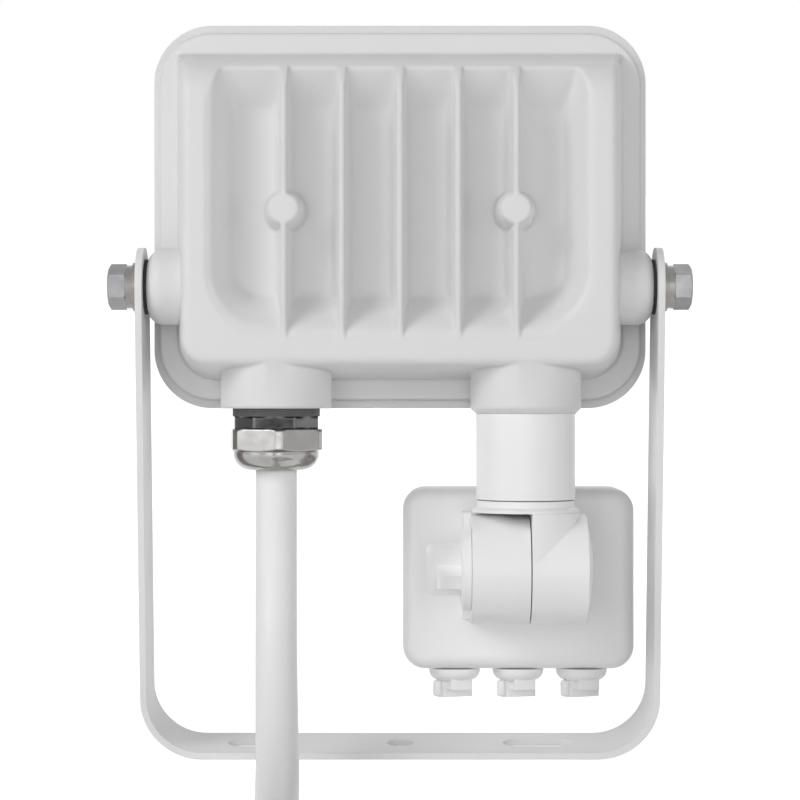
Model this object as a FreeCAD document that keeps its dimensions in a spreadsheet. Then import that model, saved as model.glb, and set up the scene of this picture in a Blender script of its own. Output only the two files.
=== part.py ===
"""Small LED floodlight on a U bracket, with a motion sensor head on a swivel arm below it.

Millimetres. +X is right as seen from behind the lamp, +Y is the way the lamp shines and +Z is up.
The origin is the middle of the underside of the bracket's web.
The bracket is modelled upright. Everything that tilts with the lamp is modelled about the bolt
axis, and then leaned forward and lifted to the height of the bolts.
"""
import FreeCAD, Part
import math
import os
import re

import Sketcher

Vector = FreeCAD.Vector

SIZES = {
    # bracket, folded from one strip of steel
    "bolt_height": 96.5,
    "strip_wide": 16.0,
    "strip_thick": 1.4,
    "leg_inside": 51.8,
    "fold_outside": 12.5,
    "leg_over_bolt": 8.0,
    "leg_end_round": 7.9,
    "bolt_hole": 2.7,
    "slot_place": 28.6,
    "slot_long": 14.3,
    "slot_half": 2.75,
    "centre_hole": 2.7,
    # how far the lamp leans forward
    "lean": 7.0,
    # housing: flange
    "flange_back": 7.5,
    "flange_front": 11.0,
    "flange_half": 49.7,
    "flange_low": -23.0,
    "flange_high": 52.8,
    "flange_round": 11.0,
    # housing: raised rear block
    "block_back": -13.0,
    "block_half": 45.9,
    "block_low": -18.7,
    "block_high": 48.5,
    "block_draft": 7.5,
    "block_low_round": 8.0,
    "block_high_round": 1.5,
    "block_edge": 1.8,
    "crease_high": 44.3,
    "slope_start": 36.0,
    "slope_round": 10.0,
    # housing: heat sink recess and its fins
    "recess_floor": -3.0,
    "recess_half": 36.0,
    "recess_low": -8.9,
    "recess_high": 48.6,
    "recess_side_ramp": 3.0,
    "recess_end_ramp": 9.6,
    "recess_top_ramp": 14.6,
    "recess_round": 10.5,
    "recess_floor_round": 6.8,
    "fin_pitch": 11.55,
    "fin_top": 1.4,
    "fin_root": 2.4,
    "cell_round": 0.6,
    "cell_floor_round": 1.6,
    "post_radius": 3.7,
    "post_draft": 2.0,
    "post_back": -12.7,
    "post_up": 15.0,
    # housing: bolt bosses, lower bosses and the space inside
    "pivot_boss": 7.75,
    "pivot_boss_end": 51.2,
    "pivot_boss_edge": 1.4,
    "pivot_thread": 2.5,
    "pivot_thread_deep": 9.5,
    "lower_axis": -1.5,
    "gland_across": -25.1,
    "arm_across": 25.5,
    "lower_boss": 11.2,
    "lower_boss_end": -24.7,
    "arm_boss_end": -25.8,
    "arm_boss_chamfer": 1.1,
    "gland_thread": 7.4,
    "arm_thread": 8.0,
    "thread_top": -12.0,
    "cavity_half": 41.0,
    "cavity_low": -13.8,
    "cavity_high": 43.0,
    "cavity_round": 5.0,
    # front frame, glass, gasket and reflector
    "frame_half": 51.0,
    "frame_low": -24.7,
    "frame_high": 54.7,
    "frame_round": 12.0,
    "frame_back": 9.9,
    "frame_front": 16.5,
    "frame_front_edge": 1.6,
    "window_half": 44.0,
    "window_low": -17.7,
    "window_high": 47.7,
    "window_round": 6.0,
    "glass_half": 46.8,
    "glass_low": -20.5,
    "glass_high": 50.5,
    "glass_round": 8.0,
    "glass_back": 12.0,
    "glass_front": 15.0,
    "gasket_wide": 2.4,
    "reflector_back": 2.6,
    "reflector_front": 11.8,
    "reflector_half": 27.5,
    "reflector_low": -0.8,
    "reflector_high": 29.8,
    "reflector_flare": 53.5,
    "reflector_thick": 0.8,
    # what lies inside the lamp
    "board_half": 35.0,
    "board_low": -4.0,
    "board_high": 38.0,
    "board_thick": 1.6,
    "screw_shank": 1.4,
    "screw_head": 2.7,
    "screw_head_high": 1.8,
    "screw_long": 6.0,
    "chip_wide": 2.8,
    "chip_tall": 3.5,
    "chip_thick": 0.7,
    "chip_step_across": 9.0,
    "chip_step_up": 7.6,
    "terminal_wide": 16.0,
    "terminal_deep": 4.7,
    "terminal_tall": 4.6,
    "terminal_low": -10.6,
    # bolts and washers
    "rubber_washer": 5.6,
    "flat_washer": 5.0,
    "flat_washer_thick": 1.0,
    "lock_washer": 4.4,
    "lock_washer_thick": 1.4,
    "lock_washer_gap": 0.9,
    "bolt_shank": 2.45,
    "bolt_across_flats": 8.1,
    "bolt_head_high": 3.6,
    "bolt_reach": 42.2,
    # cable gland and the cord through it
    "cord_radius": 4.2,
    "washer_outer": 8.85,
    "washer_low": -26.3,
    "body_corner": 8.5,
    "body_low": -28.9,
    "body_stub": 7.2,
    "body_stub_low": -33.0,
    "body_bore": 4.7,
    "seal_radius": 6.2,
    "seal_bore": 4.25,
    "seal_top": -30.0,
    "seal_low": -35.4,
    "nut_across_flats": 18.0,
    "nut_corner_turned": 9.95,
    "nut_hex_low": -33.4,
    "nut_dome_edge": 3.4,
    "nut_dome": 8.65,
    "nut_low": -37.2,
    "nut_mouth": 4.65,
    "gland_thread_top": -14.0,
    # sensor arm
    "arm_radius": 10.05,
    "arm_low": -43.1,
    "arm_bore": 8.2,
    "arm_bore_top": -30.3,
    "arm_wire_hole": 5.0,
    "arm_top": -14.0,
    "clip_groove": 9.0,
    "clip_groove_low": -33.1,
    "clip_groove_high": -31.7,
    # swivel fork
    "spigot": 8.15,
    "spigot_top": -30.5,
    "spigot_bore": 5.5,
    "collar": 9.9,
    "collar_top": -43.3,
    "collar_flare_top": -44.6,
    "collar_flare": 10.9,
    "collar_edge_top": -45.1,
    "collar_low": -45.7,
    "clip_inner": 7.45,
    "clip_outer": 8.8,
    "clip_low": -33.0,
    "clip_high": -31.8,
    "clip_gap": 3.0,
    "knuckle": 11.1,
    "knuckle_up": -57.3,
    "fork_inside": 26.3,
    "fork_end": 37.7,
    "fork_end_edge": 0.5,
    "cap_radius": 10.4,
    "cap_high": 1.4,
    "clamp_hole": 2.6,
    "clamp_nut_corner": 4.6,
    "clamp_pocket": 4.75,
    "clamp_nut_in": 32.6,
    "clamp_nut_long": 4.0,
    # sensor head
    "head_left": 0.6,
    "head_right": 49.0,
    "head_low": -79.3,
    "head_high": -41.4,
    "head_back": 12.0,
    "head_seam": 21.0,
    "head_front": 27.0,
    "head_corner": 4.8,
    "head_edge": 3.0,
    "head_front_edge": 2.4,
    "head_wall": 1.6,
    "head_inner_corner": 3.2,
    "head_knuckle_left": 14.4,
    "head_knuckle_right": 26.1,
    "neck_left": 13.0,
    "neck_step": 7.8,
    "stem_hole": 2.2,
    "head_post": 2.0,
    "sensor_board_back": 20.4,
    "sensor_board_front": 21.6,
    "lens_across": 24.8,
    "lens_up": -60.3,
    "lens_opening": 11.8,
    "lens_sphere": 11.8,
    "lens_centre": 22.0,
    "lens_thick": 0.9,
    "lens_flange": 13.2,
    "lens_flange_back": 24.4,
    "can_radius": 4.6,
    "can_high": 4.0,
    "pot_wide": 9.0,
    "pot_deep": 5.8,
    "pot_tall": 6.0,
    # setting knobs
    "knob_first": 11.5,
    "knob_step": 13.4,
    "knob_away": 18.5,
    "knob_top": -79.4,
    "skirt": 5.4,
    "skirt_low": -82.05,
    "skirt_round": 2.2,
    "knob_low": -85.5,
    "grip_half": 3.8,
    "grip_thick": 1.5,
    "grip_round": 1.2,
    "grip_turn": 20.0,
    "pointer_half": 2.3,
    "pointer_reach": 4.3,
    "pointer_low": -83.8,
    "stem": 2.0,
    "stem_top": -77.6,
    # wing screw
    "wing_flange": 8.4,
    "wing_flange_left": 12.4,
    "wing_flange_right": 14.35,
    "wing_flange_edge": 0.7,
    "wing_left": 5.3,
    "wing_half": 5.45,
    "wing_thick": 1.3,
    "wing_round": 1.5,
    "rib_left": 7.5,
    "rib_half": 1.6,
    "rib_reach": 5.3,
    "clamp_shank": 2.45,
    "clamp_shank_end": 36.4,
    # supply cord outside the gland
    "coil_across": 8.0,
    "coil_along": -136.0,
    "coil_turn_inner": 38.6,
    "coil_turn_upper": 42.8,
    "coil_turn_outer": 47.0,
    "coil_rise": 7.3,
    "tie_thick": 0.8,
    "tie_wide": 3.6,
    "tie_slack": 0.1,
    "tail_across": 44.5,
    "tail_long": 46.0,
    "core_radius": 1.35,
    "core_spread": 1.9,
    "core_long": 16.0,
    "strand_radius": 0.7,
    "strand_long": 5.0,
}

WORD = re.compile(r"[a-z][a-z0-9_]*")
PLANES = {"xy": "XY_Plane", "xz": "XZ_Plane", "yz": "YZ_Plane"}
TURNS = {
    "x": FreeCAD.Rotation(Vector(0, 1, 0), 90),
    "y": FreeCAD.Rotation(Vector(1, 0, 0), -90),
    "z": FreeCAD.Rotation(),
}

doc = FreeCAD.newDocument("motion_sensor_floodlight")
sheet = doc.addObject("Spreadsheet::Sheet", "Sizes")
sub_parts = []


def fill_sheet():
    """One row of the sheet for each size: its name and its value."""
    for row, (name, value) in enumerate(SIZES.items(), 1):
        sheet.set(f"A{row}", name)
        sheet.set(f"B{row}", str(value))
        sheet.setAlias(f"B{row}", name)
    doc.recompute()


def size(name):
    """The number that the sheet holds under a name."""
    return float(sheet.get(name))


def cells(formula):
    """The formula with the name of each size turned into its cell in the sheet."""
    return WORD.sub(lambda word: "Sizes." + word.group() if word.group() in SIZES else word.group(), formula)


def bind(thing, what, formula):
    thing.setExpression(what, cells(formula))


def bind_place(thing, what, place):
    for axis, formula in zip("xyz", place):
        bind(thing, f"{what}.Base.{axis}", formula)


# Sketches

def new_body(name):
    return doc.addObject("PartDesign::Body", name)


def sketch_on(body, plane, place=("0", "0", "0"), turn=0.0):
    """An empty sketch on one of the body's own planes, moved across, up and off the plane."""
    sketch = body.newObject("Sketcher::SketchObject", "outline")
    found = [one for one in body.Origin.OriginFeatures if one.Role == PLANES[plane]]
    sketch.AttachmentSupport = [(found[0], "")]
    sketch.MapMode = "FlatFace"
    sketch.AttachmentOffset = FreeCAD.Placement(Vector(), FreeCAD.Rotation(Vector(0, 0, 1), turn))
    bind_place(sketch, "AttachmentOffset", place)
    return sketch


def hold(sketch, kind, geometry, point, formula):
    """Hold a point's distance from the sketch's origin at a formula."""
    number = sketch.addConstraint(Sketcher.Constraint(kind, -1, 1, geometry, point, 10.0))
    bind(sketch, f"Constraints[{number}]", formula)


def hold_radius(sketch, geometry, formula):
    number = sketch.addConstraint(Sketcher.Constraint("Radius", geometry, 2.0))
    bind(sketch, f"Constraints[{number}]", formula)


def polygon(sketch, corners):
    """A closed outline of straight lines. Each corner is a pair of formulas."""
    count = len(corners)
    ring = []
    for number in range(count):
        angle = math.tau * number / count
        ring.append(Vector(10 * math.cos(angle), 10 * math.sin(angle), 0))
    for number in range(count):
        sketch.addGeometry(Part.LineSegment(ring[number], ring[(number + 1) % count]), False)
    for number in range(count):
        sketch.addConstraint(Sketcher.Constraint("Coincident", number, 2, (number + 1) % count, 1))
    for number, (across, up) in enumerate(corners):
        hold(sketch, "DistanceX", number, 1, across)
        hold(sketch, "DistanceY", number, 1, up)
    return sketch


def rounded(sketch, left, low, right, high, radii):
    """A rectangle with round corners. The radii are those at right low, right high, left high
    and left low."""
    half = 10.0
    turn = 2.0
    near = half - turn
    for start, end in (
        ((-near, -half), (near, -half)),
        ((half, -near), (half, near)),
        ((near, half), (-near, half)),
        ((-half, near), (-half, -near)),
    ):
        sketch.addGeometry(Part.LineSegment(Vector(*start, 0), Vector(*end, 0)), False)
    for number, centre in enumerate(((near, -near), (near, near), (-near, near), (-near, -near))):
        circle = Part.Circle(Vector(*centre, 0), Vector(0, 0, 1), turn)
        start = math.radians(90 * number - 90)
        sketch.addGeometry(Part.ArcOfCircle(circle, start, start + math.pi / 2), False)
    for number in range(4):
        sketch.addConstraint(Sketcher.Constraint("Tangent", number, 2, 4 + number, 1))
        sketch.addConstraint(Sketcher.Constraint("Tangent", 4 + number, 2, (number + 1) % 4, 1))
    for number in (0, 2):
        sketch.addConstraint(Sketcher.Constraint("Horizontal", number))
        sketch.addConstraint(Sketcher.Constraint("Vertical", number + 1))
    hold(sketch, "DistanceY", 0, 1, low)
    hold(sketch, "DistanceX", 1, 1, right)
    hold(sketch, "DistanceY", 2, 1, high)
    hold(sketch, "DistanceX", 3, 1, left)
    for number, radius in enumerate(radii):
        hold_radius(sketch, 4 + number, radius)
    return sketch


def circles(sketch, centres, radius):
    """Circles of one radius. Each centre is a pair of formulas."""
    for number, (across, up) in enumerate(centres):
        sketch.addGeometry(Part.Circle(Vector(5 * number, 5, 0), Vector(0, 0, 1), 2), False)
        hold(sketch, "DistanceX", number, 3, across)
        hold(sketch, "DistanceY", number, 3, up)
        hold_radius(sketch, number, radius)
    return sketch


# Features

def feature(body, kind, sketch, length, **settings):
    """A pad or a pocket of a sketch, with its length bound to a formula."""
    made = body.newObject("PartDesign::" + kind, kind.lower())
    made.Profile = sketch
    for name, value in settings.items():
        setattr(made, name, value)
    if length:
        bind(made, "Length", length)
    body.Tip = made
    sketch.Visibility = False
    return made


def spin(body, kind, sketch, axis):
    """A full turn of a sketch about its own horizontal or vertical axis."""
    made = body.newObject("PartDesign::" + kind, kind.lower())
    made.Profile = sketch
    made.ReferenceAxis = (sketch, [axis])
    made.Angle = 360.0
    body.Tip = made
    return made


def loft(body, kind, first, second):
    made = body.newObject("PartDesign::" + kind, kind.lower())
    made.Profile = first
    made.Sections = [second]
    made.Ruled = True
    body.Tip = made
    return made


def edges_where(made, test):
    """The names of a feature's edges that pass a test."""
    doc.recompute()
    return [f"Edge{number}" for number, edge in enumerate(made.Shape.Edges, 1) if test(edge)]


def dress(body, kind, radius, test):
    """A fillet or a chamfer on the edges of the body's last feature that pass a test."""
    base = body.Tip
    names = edges_where(base, test)
    if not names:
        raise ValueError(f"{body.Name}: no edge to dress")
    made = body.newObject("PartDesign::" + kind, kind.lower())
    made.Base = (base, names)
    bind(made, "Radius" if kind == "Fillet" else "Size", radius)
    body.Tip = made
    return made


def spread(edge, axis):
    """The least and the greatest coordinate of an edge along an axis."""
    box = edge.BoundBox
    return {"x": (box.XMin, box.XMax), "y": (box.YMin, box.YMax), "z": (box.ZMin, box.ZMax)}[axis]


def lies_at(edge, axis, value, slack=0.02):
    low, high = spread(edge, axis)
    return abs(low - value) < slack and abs(high - value) < slack


def runs_along(edge, axis, length=0.1):
    """True for an edge that is longer than a length along one axis and short along the others."""
    for other in "xyz":
        low, high = spread(edge, other)
        if other == axis and high - low < length:
            return False
        if other != axis and high - low > 0.02:
            return False
    return True


# Solids from primitives

def place_along(made, place, axis):
    made.Placement = FreeCAD.Placement(Vector(), TURNS[axis])
    bind_place(made, "Placement", place)


def cylinder(radius, length, place, axis="z"):
    made = doc.addObject("Part::Cylinder", "cylinder")
    bind(made, "Radius", radius)
    bind(made, "Height", length)
    place_along(made, place, axis)
    return made


def prism(corner, length, place, axis="z", turn=0.0):
    """A hexagonal prism, turned about its own axis."""
    made = doc.addObject("Part::Prism", "prism")
    made.Polygon = 6
    bind(made, "Circumradius", corner)
    bind(made, "Height", length)
    place_along(made, place, axis)
    made.Placement = FreeCAD.Placement(Vector(), TURNS[axis].multiply(FreeCAD.Rotation(Vector(0, 0, 1), turn)))
    bind_place(made, "Placement", place)
    return made


def box(lengths, place):
    made = doc.addObject("Part::Box", "box")
    for name, formula in zip(("Length", "Width", "Height"), lengths):
        bind(made, name, formula)
    bind_place(made, "Placement", place)
    return made


def sphere(radius, place):
    made = doc.addObject("Part::Sphere", "sphere")
    bind(made, "Radius", radius)
    bind_place(made, "Placement", place)
    return made


def join(parts):
    made = doc.addObject("Part::MultiFuse", "join")
    made.Shapes = parts
    return made


def cut(base, tools):
    made = doc.addObject("Part::Cut", "cut")
    made.Base = base
    made.Tool = tools[0] if len(tools) == 1 else join(tools)
    return made


def shared(first, second):
    made = doc.addObject("Part::Common", "shared")
    made.Base = first
    made.Tool = second
    return made


def group(parts):
    """Separate solids that are one kind of piece."""
    made = doc.addObject("Part::Compound", "group")
    made.Links = parts
    return made


def ring(outer, inner, length, place, axis="z"):
    return cut(cylinder(outer, length, place, axis), [cylinder(inner, length, place, axis)])


def turned(name, plane, place, axis, corners):
    """A body turned from one outline. Its corners are pairs of formulas."""
    body = new_body(name)
    spin(body, "Revolution", polygon(sketch_on(body, plane, place), corners), axis)
    return body


def sub_part(made, name, leaned=True):
    """Name a finished sub-part and, where it belongs to the lamp, lean it and lift it."""
    made.Label = name
    if leaned:
        made.Placement = FreeCAD.Placement(Vector(), FreeCAD.Rotation(Vector(1, 0, 0), -1))
        bind(made, "Placement.Base.z", "bolt_height")
        bind(made, "Placement.Rotation.Angle", "-lean * 1 deg")
    sub_parts.append(made)
    return made


# Bracket

def make_bracket():
    """One strip folded to a U, with a bolt hole in each leg, two slots and a centre hole."""
    body = new_body("bracket_body")
    outside = "(leg_inside + strip_thick)"
    top = "bolt_height + leg_over_bolt"
    sketch = polygon(
        sketch_on(body, "xz"),
        [
            (f"-{outside}", "0"),
            (outside, "0"),
            (outside, top),
            ("leg_inside", top),
            ("leg_inside", "strip_thick"),
            ("-leg_inside", "strip_thick"),
            ("-leg_inside", top),
            (f"-{outside}", top),
        ],
    )
    feature(body, "Pad", sketch, "strip_wide", Midplane=True)
    far = size("leg_inside")
    thick = size("strip_thick")
    dress(
        body,
        "Fillet",
        "fold_outside",
        lambda edge: runs_along(edge, "y") and lies_at(edge, "z", 0),
    )
    dress(
        body,
        "Fillet",
        "fold_outside - strip_thick",
        lambda edge: runs_along(edge, "y") and lies_at(edge, "z", thick),
    )
    high = size("bolt_height") + size("leg_over_bolt")
    dress(
        body,
        "Fillet",
        "leg_end_round",
        lambda edge: runs_along(edge, "x") and lies_at(edge, "z", high) and edge.Length < far,
    )
    bolt_holes = circles(sketch_on(body, "yz"), [("0", "bolt_height")], "bolt_hole")
    feature(body, "Pocket", bolt_holes, "", Type="ThroughAll", Midplane=True)
    for side in ("-", ""):
        slot = rounded(
            sketch_on(body, "xy", (f"{side}slot_place", "0", "0")),
            "-slot_long / 2",
            "-slot_half",
            "slot_long / 2",
            "slot_half",
            ["slot_half * 0.999"] * 4,
        )
        feature(body, "Pocket", slot, "", Type="ThroughAll", Midplane=True)
    centre = circles(sketch_on(body, "xy"), [("0", "0")], "centre_hole")
    feature(body, "Pocket", centre, "", Type="ThroughAll", Midplane=True)
    return sub_part(body, "mounting_bracket", leaned=False)


# Housing

def block_profile(body):
    """Cut the block's top: a sloping wall up to a crease, and a round shoulder behind it."""
    back = size("block_back")
    rise = size("slope_start")
    turn = size("slope_round")
    crease = size("crease_high")
    crease_away = back + turn - math.sqrt(turn**2 - (crease - rise) ** 2)
    over = size("frame_high")
    behind = back - 2
    sketch = sketch_on(body, "yz")
    corners = [
        Vector(size("flange_back"), size("block_high"), 0),
        Vector(crease_away, crease, 0),
        Vector(back, rise, 0),
        Vector(behind, rise, 0),
        Vector(behind, over, 0),
        Vector(size("flange_back"), over, 0),
    ]
    circle = Part.Circle(Vector(back + turn, rise, 0), Vector(0, 0, 1), turn)
    crease_angle = math.atan2(crease - rise, crease_away - back - turn)
    sketch.addGeometry(Part.LineSegment(corners[0], corners[1]), False)
    sketch.addGeometry(Part.ArcOfCircle(circle, crease_angle, math.pi), False)
    for number in range(2, 6):
        sketch.addGeometry(Part.LineSegment(corners[number], corners[(number + 1) % 6]), False)
    for number in range(6):
        sketch.addConstraint(Sketcher.Constraint("Coincident", number, 2, (number + 1) % 6, 1))
    hold(sketch, "DistanceX", 1, 3, "block_back + slope_round")
    hold(sketch, "DistanceY", 1, 3, "slope_start")
    hold_radius(sketch, 1, "slope_round")
    hold(sketch, "DistanceX", 0, 1, "flange_back")
    hold(sketch, "DistanceY", 0, 1, "block_high")
    hold(sketch, "DistanceY", 0, 2, "crease_high")
    hold(sketch, "DistanceY", 2, 1, "slope_start")
    hold(sketch, "DistanceX", 3, 1, "block_back - 2")
    hold(sketch, "DistanceY", 3, 1, "slope_start")
    hold(sketch, "DistanceX", 4, 1, "block_back - 2")
    hold(sketch, "DistanceY", 4, 1, "frame_high")
    hold(sketch, "DistanceX", 5, 1, "flange_back")
    hold(sketch, "DistanceY", 5, 1, "frame_high")
    feature(body, "Pocket", sketch, "block_half * 4", Midplane=True)


def heat_sink_cell(body, number):
    """The hollow between two fins, with ramps at its ends. The outermost hollows have a large
    round corner."""
    left = f"{number} * fin_pitch + fin_top / 2"
    right = f"{number + 1} * fin_pitch - fin_top / 2"
    floor_left = f"{number} * fin_pitch + fin_root / 2"
    floor_right = f"{number + 1} * fin_pitch - fin_root / 2"
    radii = ["cell_round"] * 4
    floor_radii = ["cell_floor_round"] * 4
    if number == -3:
        left = "-recess_half"
        floor_left = "recess_side_ramp - recess_half"
        radii[3] = "recess_round"
        floor_radii[3] = "recess_floor_round"
    if number == 2:
        right = "recess_half"
        floor_right = "recess_half - recess_side_ramp"
        radii[0] = "recess_round"
        floor_radii[0] = "recess_floor_round"
    mouth = rounded(
        sketch_on(body, "xz", ("0", "0", "-block_back")),
        left,
        "recess_low",
        right,
        "recess_high",
        radii,
    )
    floor = rounded(
        sketch_on(body, "xz", ("0", "0", "-recess_floor")),
        floor_left,
        "recess_low + recess_end_ramp",
        floor_right,
        "recess_high - recess_top_ramp",
        floor_radii,
    )
    loft(body, "SubtractiveLoft", mouth, floor)


def make_housing():
    body = new_body("housing_body")
    flange = rounded(
        sketch_on(body, "xz", ("0", "0", "-flange_front")),
        "-flange_half",
        "flange_low",
        "flange_half",
        "flange_high",
        ["flange_round"] * 4,
    )
    feature(body, "Pad", flange, "flange_front - flange_back")
    block = rounded(
        sketch_on(body, "xz", ("0", "0", "-flange_back")),
        "-block_half",
        "block_low",
        "block_half",
        "block_high",
        ["block_low_round", "block_high_round", "block_high_round", "block_low_round"],
    )
    feature(body, "Pad", block, "flange_back - block_back", TaperAngle=-size("block_draft"))
    block_profile(body)
    back = size("block_back")
    dress(
        body,
        "Fillet",
        "block_edge",
        lambda edge: lies_at(edge, "y", back) and spread(edge, "z")[0] < size("slope_start") - 1,
    )
    pivots = circles(sketch_on(body, "yz"), [("0", "0")], "pivot_boss")
    feature(body, "Pad", pivots, "pivot_boss_end * 2", Midplane=True)
    reach = size("pivot_boss_end")
    dress(
        body,
        "Fillet",
        "pivot_boss_edge",
        lambda edge: lies_at(edge, "x", reach) or lies_at(edge, "x", -reach),
    )
    gland_boss = circles(
        sketch_on(body, "xy", ("0", "0", "lower_boss_end")),
        [("gland_across", "lower_axis")],
        "lower_boss",
    )
    feature(body, "Pad", gland_boss, "thread_top - lower_boss_end")
    arm_boss = circles(
        sketch_on(body, "xy", ("0", "0", "arm_boss_end")),
        [("arm_across", "lower_axis")],
        "lower_boss",
    )
    feature(body, "Pad", arm_boss, "thread_top - arm_boss_end")
    arm_end = size("arm_boss_end")
    dress(body, "Chamfer", "arm_boss_chamfer", lambda edge: lies_at(edge, "z", arm_end))
    for number in range(-3, 3):
        heat_sink_cell(body, number)
    posts = circles(
        sketch_on(body, "xz", ("0", "0", "-recess_floor")),
        [("-2 * fin_pitch", "post_up"), ("2 * fin_pitch", "post_up")],
        "post_radius",
    )
    feature(body, "Pad", posts, "recess_floor - post_back", TaperAngle=-size("post_draft"))
    cavity = rounded(
        sketch_on(body, "xz", ("0", "0", "-flange_front")),
        "-cavity_half",
        "cavity_low",
        "cavity_half",
        "cavity_high",
        ["cavity_round"] * 4,
    )
    feature(body, "Pocket", cavity, "flange_front", Reversed=True)
    for across, radius in (("gland_across", "gland_thread"), ("arm_across", "arm_thread")):
        bore = circles(sketch_on(body, "xy", ("0", "0", "thread_top")), [(across, "lower_axis")], radius)
        feature(body, "Pocket", bore, "thread_top - arm_boss_end")
    for side in (-1, 1):
        hole = circles(
            sketch_on(body, "yz", ("0", "0", f"{side} * pivot_boss_end")), [("0", "0")], "pivot_thread"
        )
        feature(body, "Pocket", hole, "pivot_thread_deep", Reversed=side < 0)
    screw_holes = circles(
        sketch_on(body, "xz"),
        [("-2 * fin_pitch", "post_up"), ("2 * fin_pitch", "post_up")],
        "screw_shank",
    )
    feature(body, "Pocket", screw_holes, "screw_long", Reversed=True)
    return sub_part(body, "rear_housing")


# Front of the lamp

def make_frame():
    body = new_body("frame_body")
    rim = rounded(
        sketch_on(body, "xz", ("0", "0", "-frame_front")),
        "-frame_half",
        "frame_low",
        "frame_half",
        "frame_high",
        ["frame_round"] * 4,
    )
    feature(body, "Pad", rim, "frame_front - frame_back")
    front = size("frame_front")
    dress(body, "Fillet", "frame_front_edge", lambda edge: lies_at(edge, "y", front))
    seat = rounded(
        sketch_on(body, "xz", ("0", "0", "-flange_front")),
        "-flange_half",
        "flange_low",
        "flange_half",
        "flange_high",
        ["flange_round"] * 4,
    )
    feature(body, "Pocket", seat, "flange_front - frame_back + 1", Reversed=True)
    window = rounded(
        sketch_on(body, "xz", ("0", "0", "-frame_front")),
        "-window_half",
        "window_low",
        "window_half",
        "window_high",
        ["window_round"] * 4,
    )
    feature(body, "Pocket", window, "frame_front", Reversed=True)
    rebate = rounded(
        sketch_on(body, "xz", ("0", "0", "-glass_front")),
        "-glass_half - 0.3",
        "glass_low - 0.3",
        "glass_half + 0.3",
        "glass_high + 0.3",
        ["glass_round"] * 4,
    )
    feature(body, "Pocket", rebate, "glass_front", Reversed=True)
    return sub_part(body, "front_frame")


def make_glass():
    body = new_body("glass_body")
    pane = rounded(
        sketch_on(body, "xz", ("0", "0", "-glass_front")),
        "-glass_half",
        "glass_low",
        "glass_half",
        "glass_high",
        ["glass_round"] * 4,
    )
    feature(body, "Pad", pane, "glass_front - glass_back")
    return sub_part(body, "front_glass")


def make_gasket():
    body = new_body("gasket_body")
    outer = rounded(
        sketch_on(body, "xz", ("0", "0", "-glass_back")),
        "-glass_half",
        "glass_low",
        "glass_half",
        "glass_high",
        ["glass_round"] * 4,
    )
    feature(body, "Pad", outer, "glass_back - flange_front")
    inner = rounded(
        sketch_on(body, "xz", ("0", "0", "-glass_back")),
        "gasket_wide - glass_half",
        "glass_low + gasket_wide",
        "glass_half - gasket_wide",
        "glass_high - gasket_wide",
        ["glass_round - gasket_wide"] * 4,
    )
    feature(body, "Pocket", inner, "", Type="ThroughAll", Midplane=True)
    return sub_part(body, "glass_gasket")


def make_reflector():
    """A flared white tray around the LEDs, open at the back and at the front."""
    body = new_body("reflector_body")
    flare = size("reflector_flare")
    outer = rounded(
        sketch_on(body, "xz", ("0", "0", "-reflector_back")),
        "-reflector_half - reflector_thick",
        "reflector_low - reflector_thick",
        "reflector_half + reflector_thick",
        "reflector_high + reflector_thick",
        ["2"] * 4,
    )
    feature(body, "Pad", outer, "reflector_front - reflector_back", Reversed=True, TaperAngle=flare)
    inner = rounded(
        sketch_on(body, "xz", ("0", "0", "-reflector_back")),
        "-reflector_half",
        "reflector_low",
        "reflector_half",
        "reflector_high",
        ["2"] * 4,
    )
    feature(body, "Pocket", inner, "reflector_front - reflector_back", TaperAngle=flare)
    return sub_part(body, "reflector")


# Inside the lamp

def make_led_board():
    body = new_body("board_body")
    plate = rounded(
        sketch_on(body, "xz", ("0", "0", "-board_thick")),
        "-board_half",
        "board_low",
        "board_half",
        "board_high",
        ["2"] * 4,
    )
    feature(body, "Pad", plate, "board_thick")
    holes = circles(
        sketch_on(body, "xz"),
        [("-2 * fin_pitch", "post_up"), ("2 * fin_pitch", "post_up")],
        "screw_shank + 0.1",
    )
    feature(body, "Pocket", holes, "", Type="ThroughAll", Midplane=True)
    return sub_part(body, "led_board")


def make_board_screws():
    screws = []
    for side in (-1, 1):
        across = f"{side} * 2 * fin_pitch"
        head = cylinder("screw_head", "screw_head_high", (across, "board_thick", "post_up"), "y")
        shank = cylinder("screw_shank", "screw_long + board_thick", (across, "-screw_long", "post_up"), "y")
        screws.append(join([head, shank]))
    return sub_part(group(screws), "board_screws")


def make_led_chips():
    """Five columns and four rows of LED packages on the board, clear of the two screws."""
    chips = []
    for column in range(-2, 3):
        for row in range(4):
            across = f"{column} * chip_step_across - chip_wide / 2"
            up = f"post_up + ({row} - 1.5) * chip_step_up - chip_tall / 2"
            chips.append(box(("chip_wide", "chip_thick", "chip_tall"), (across, "board_thick", up)))
    return sub_part(group(chips), "led_chips")


def make_terminal_block():
    block = box(
        ("terminal_wide", "terminal_deep", "terminal_tall"),
        ("gland_across - terminal_wide / 2", "0", "terminal_low"),
    )
    holes = []
    for number in range(3):
        across = f"gland_across + ({number} - 1) * terminal_wide / 3"
        holes.append(
            cylinder("1.2", "terminal_tall", (across, "terminal_deep / 2", "terminal_low"), "z")
        )
    return sub_part(cut(block, holes), "terminal_block")


# Bolts and washers

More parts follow.
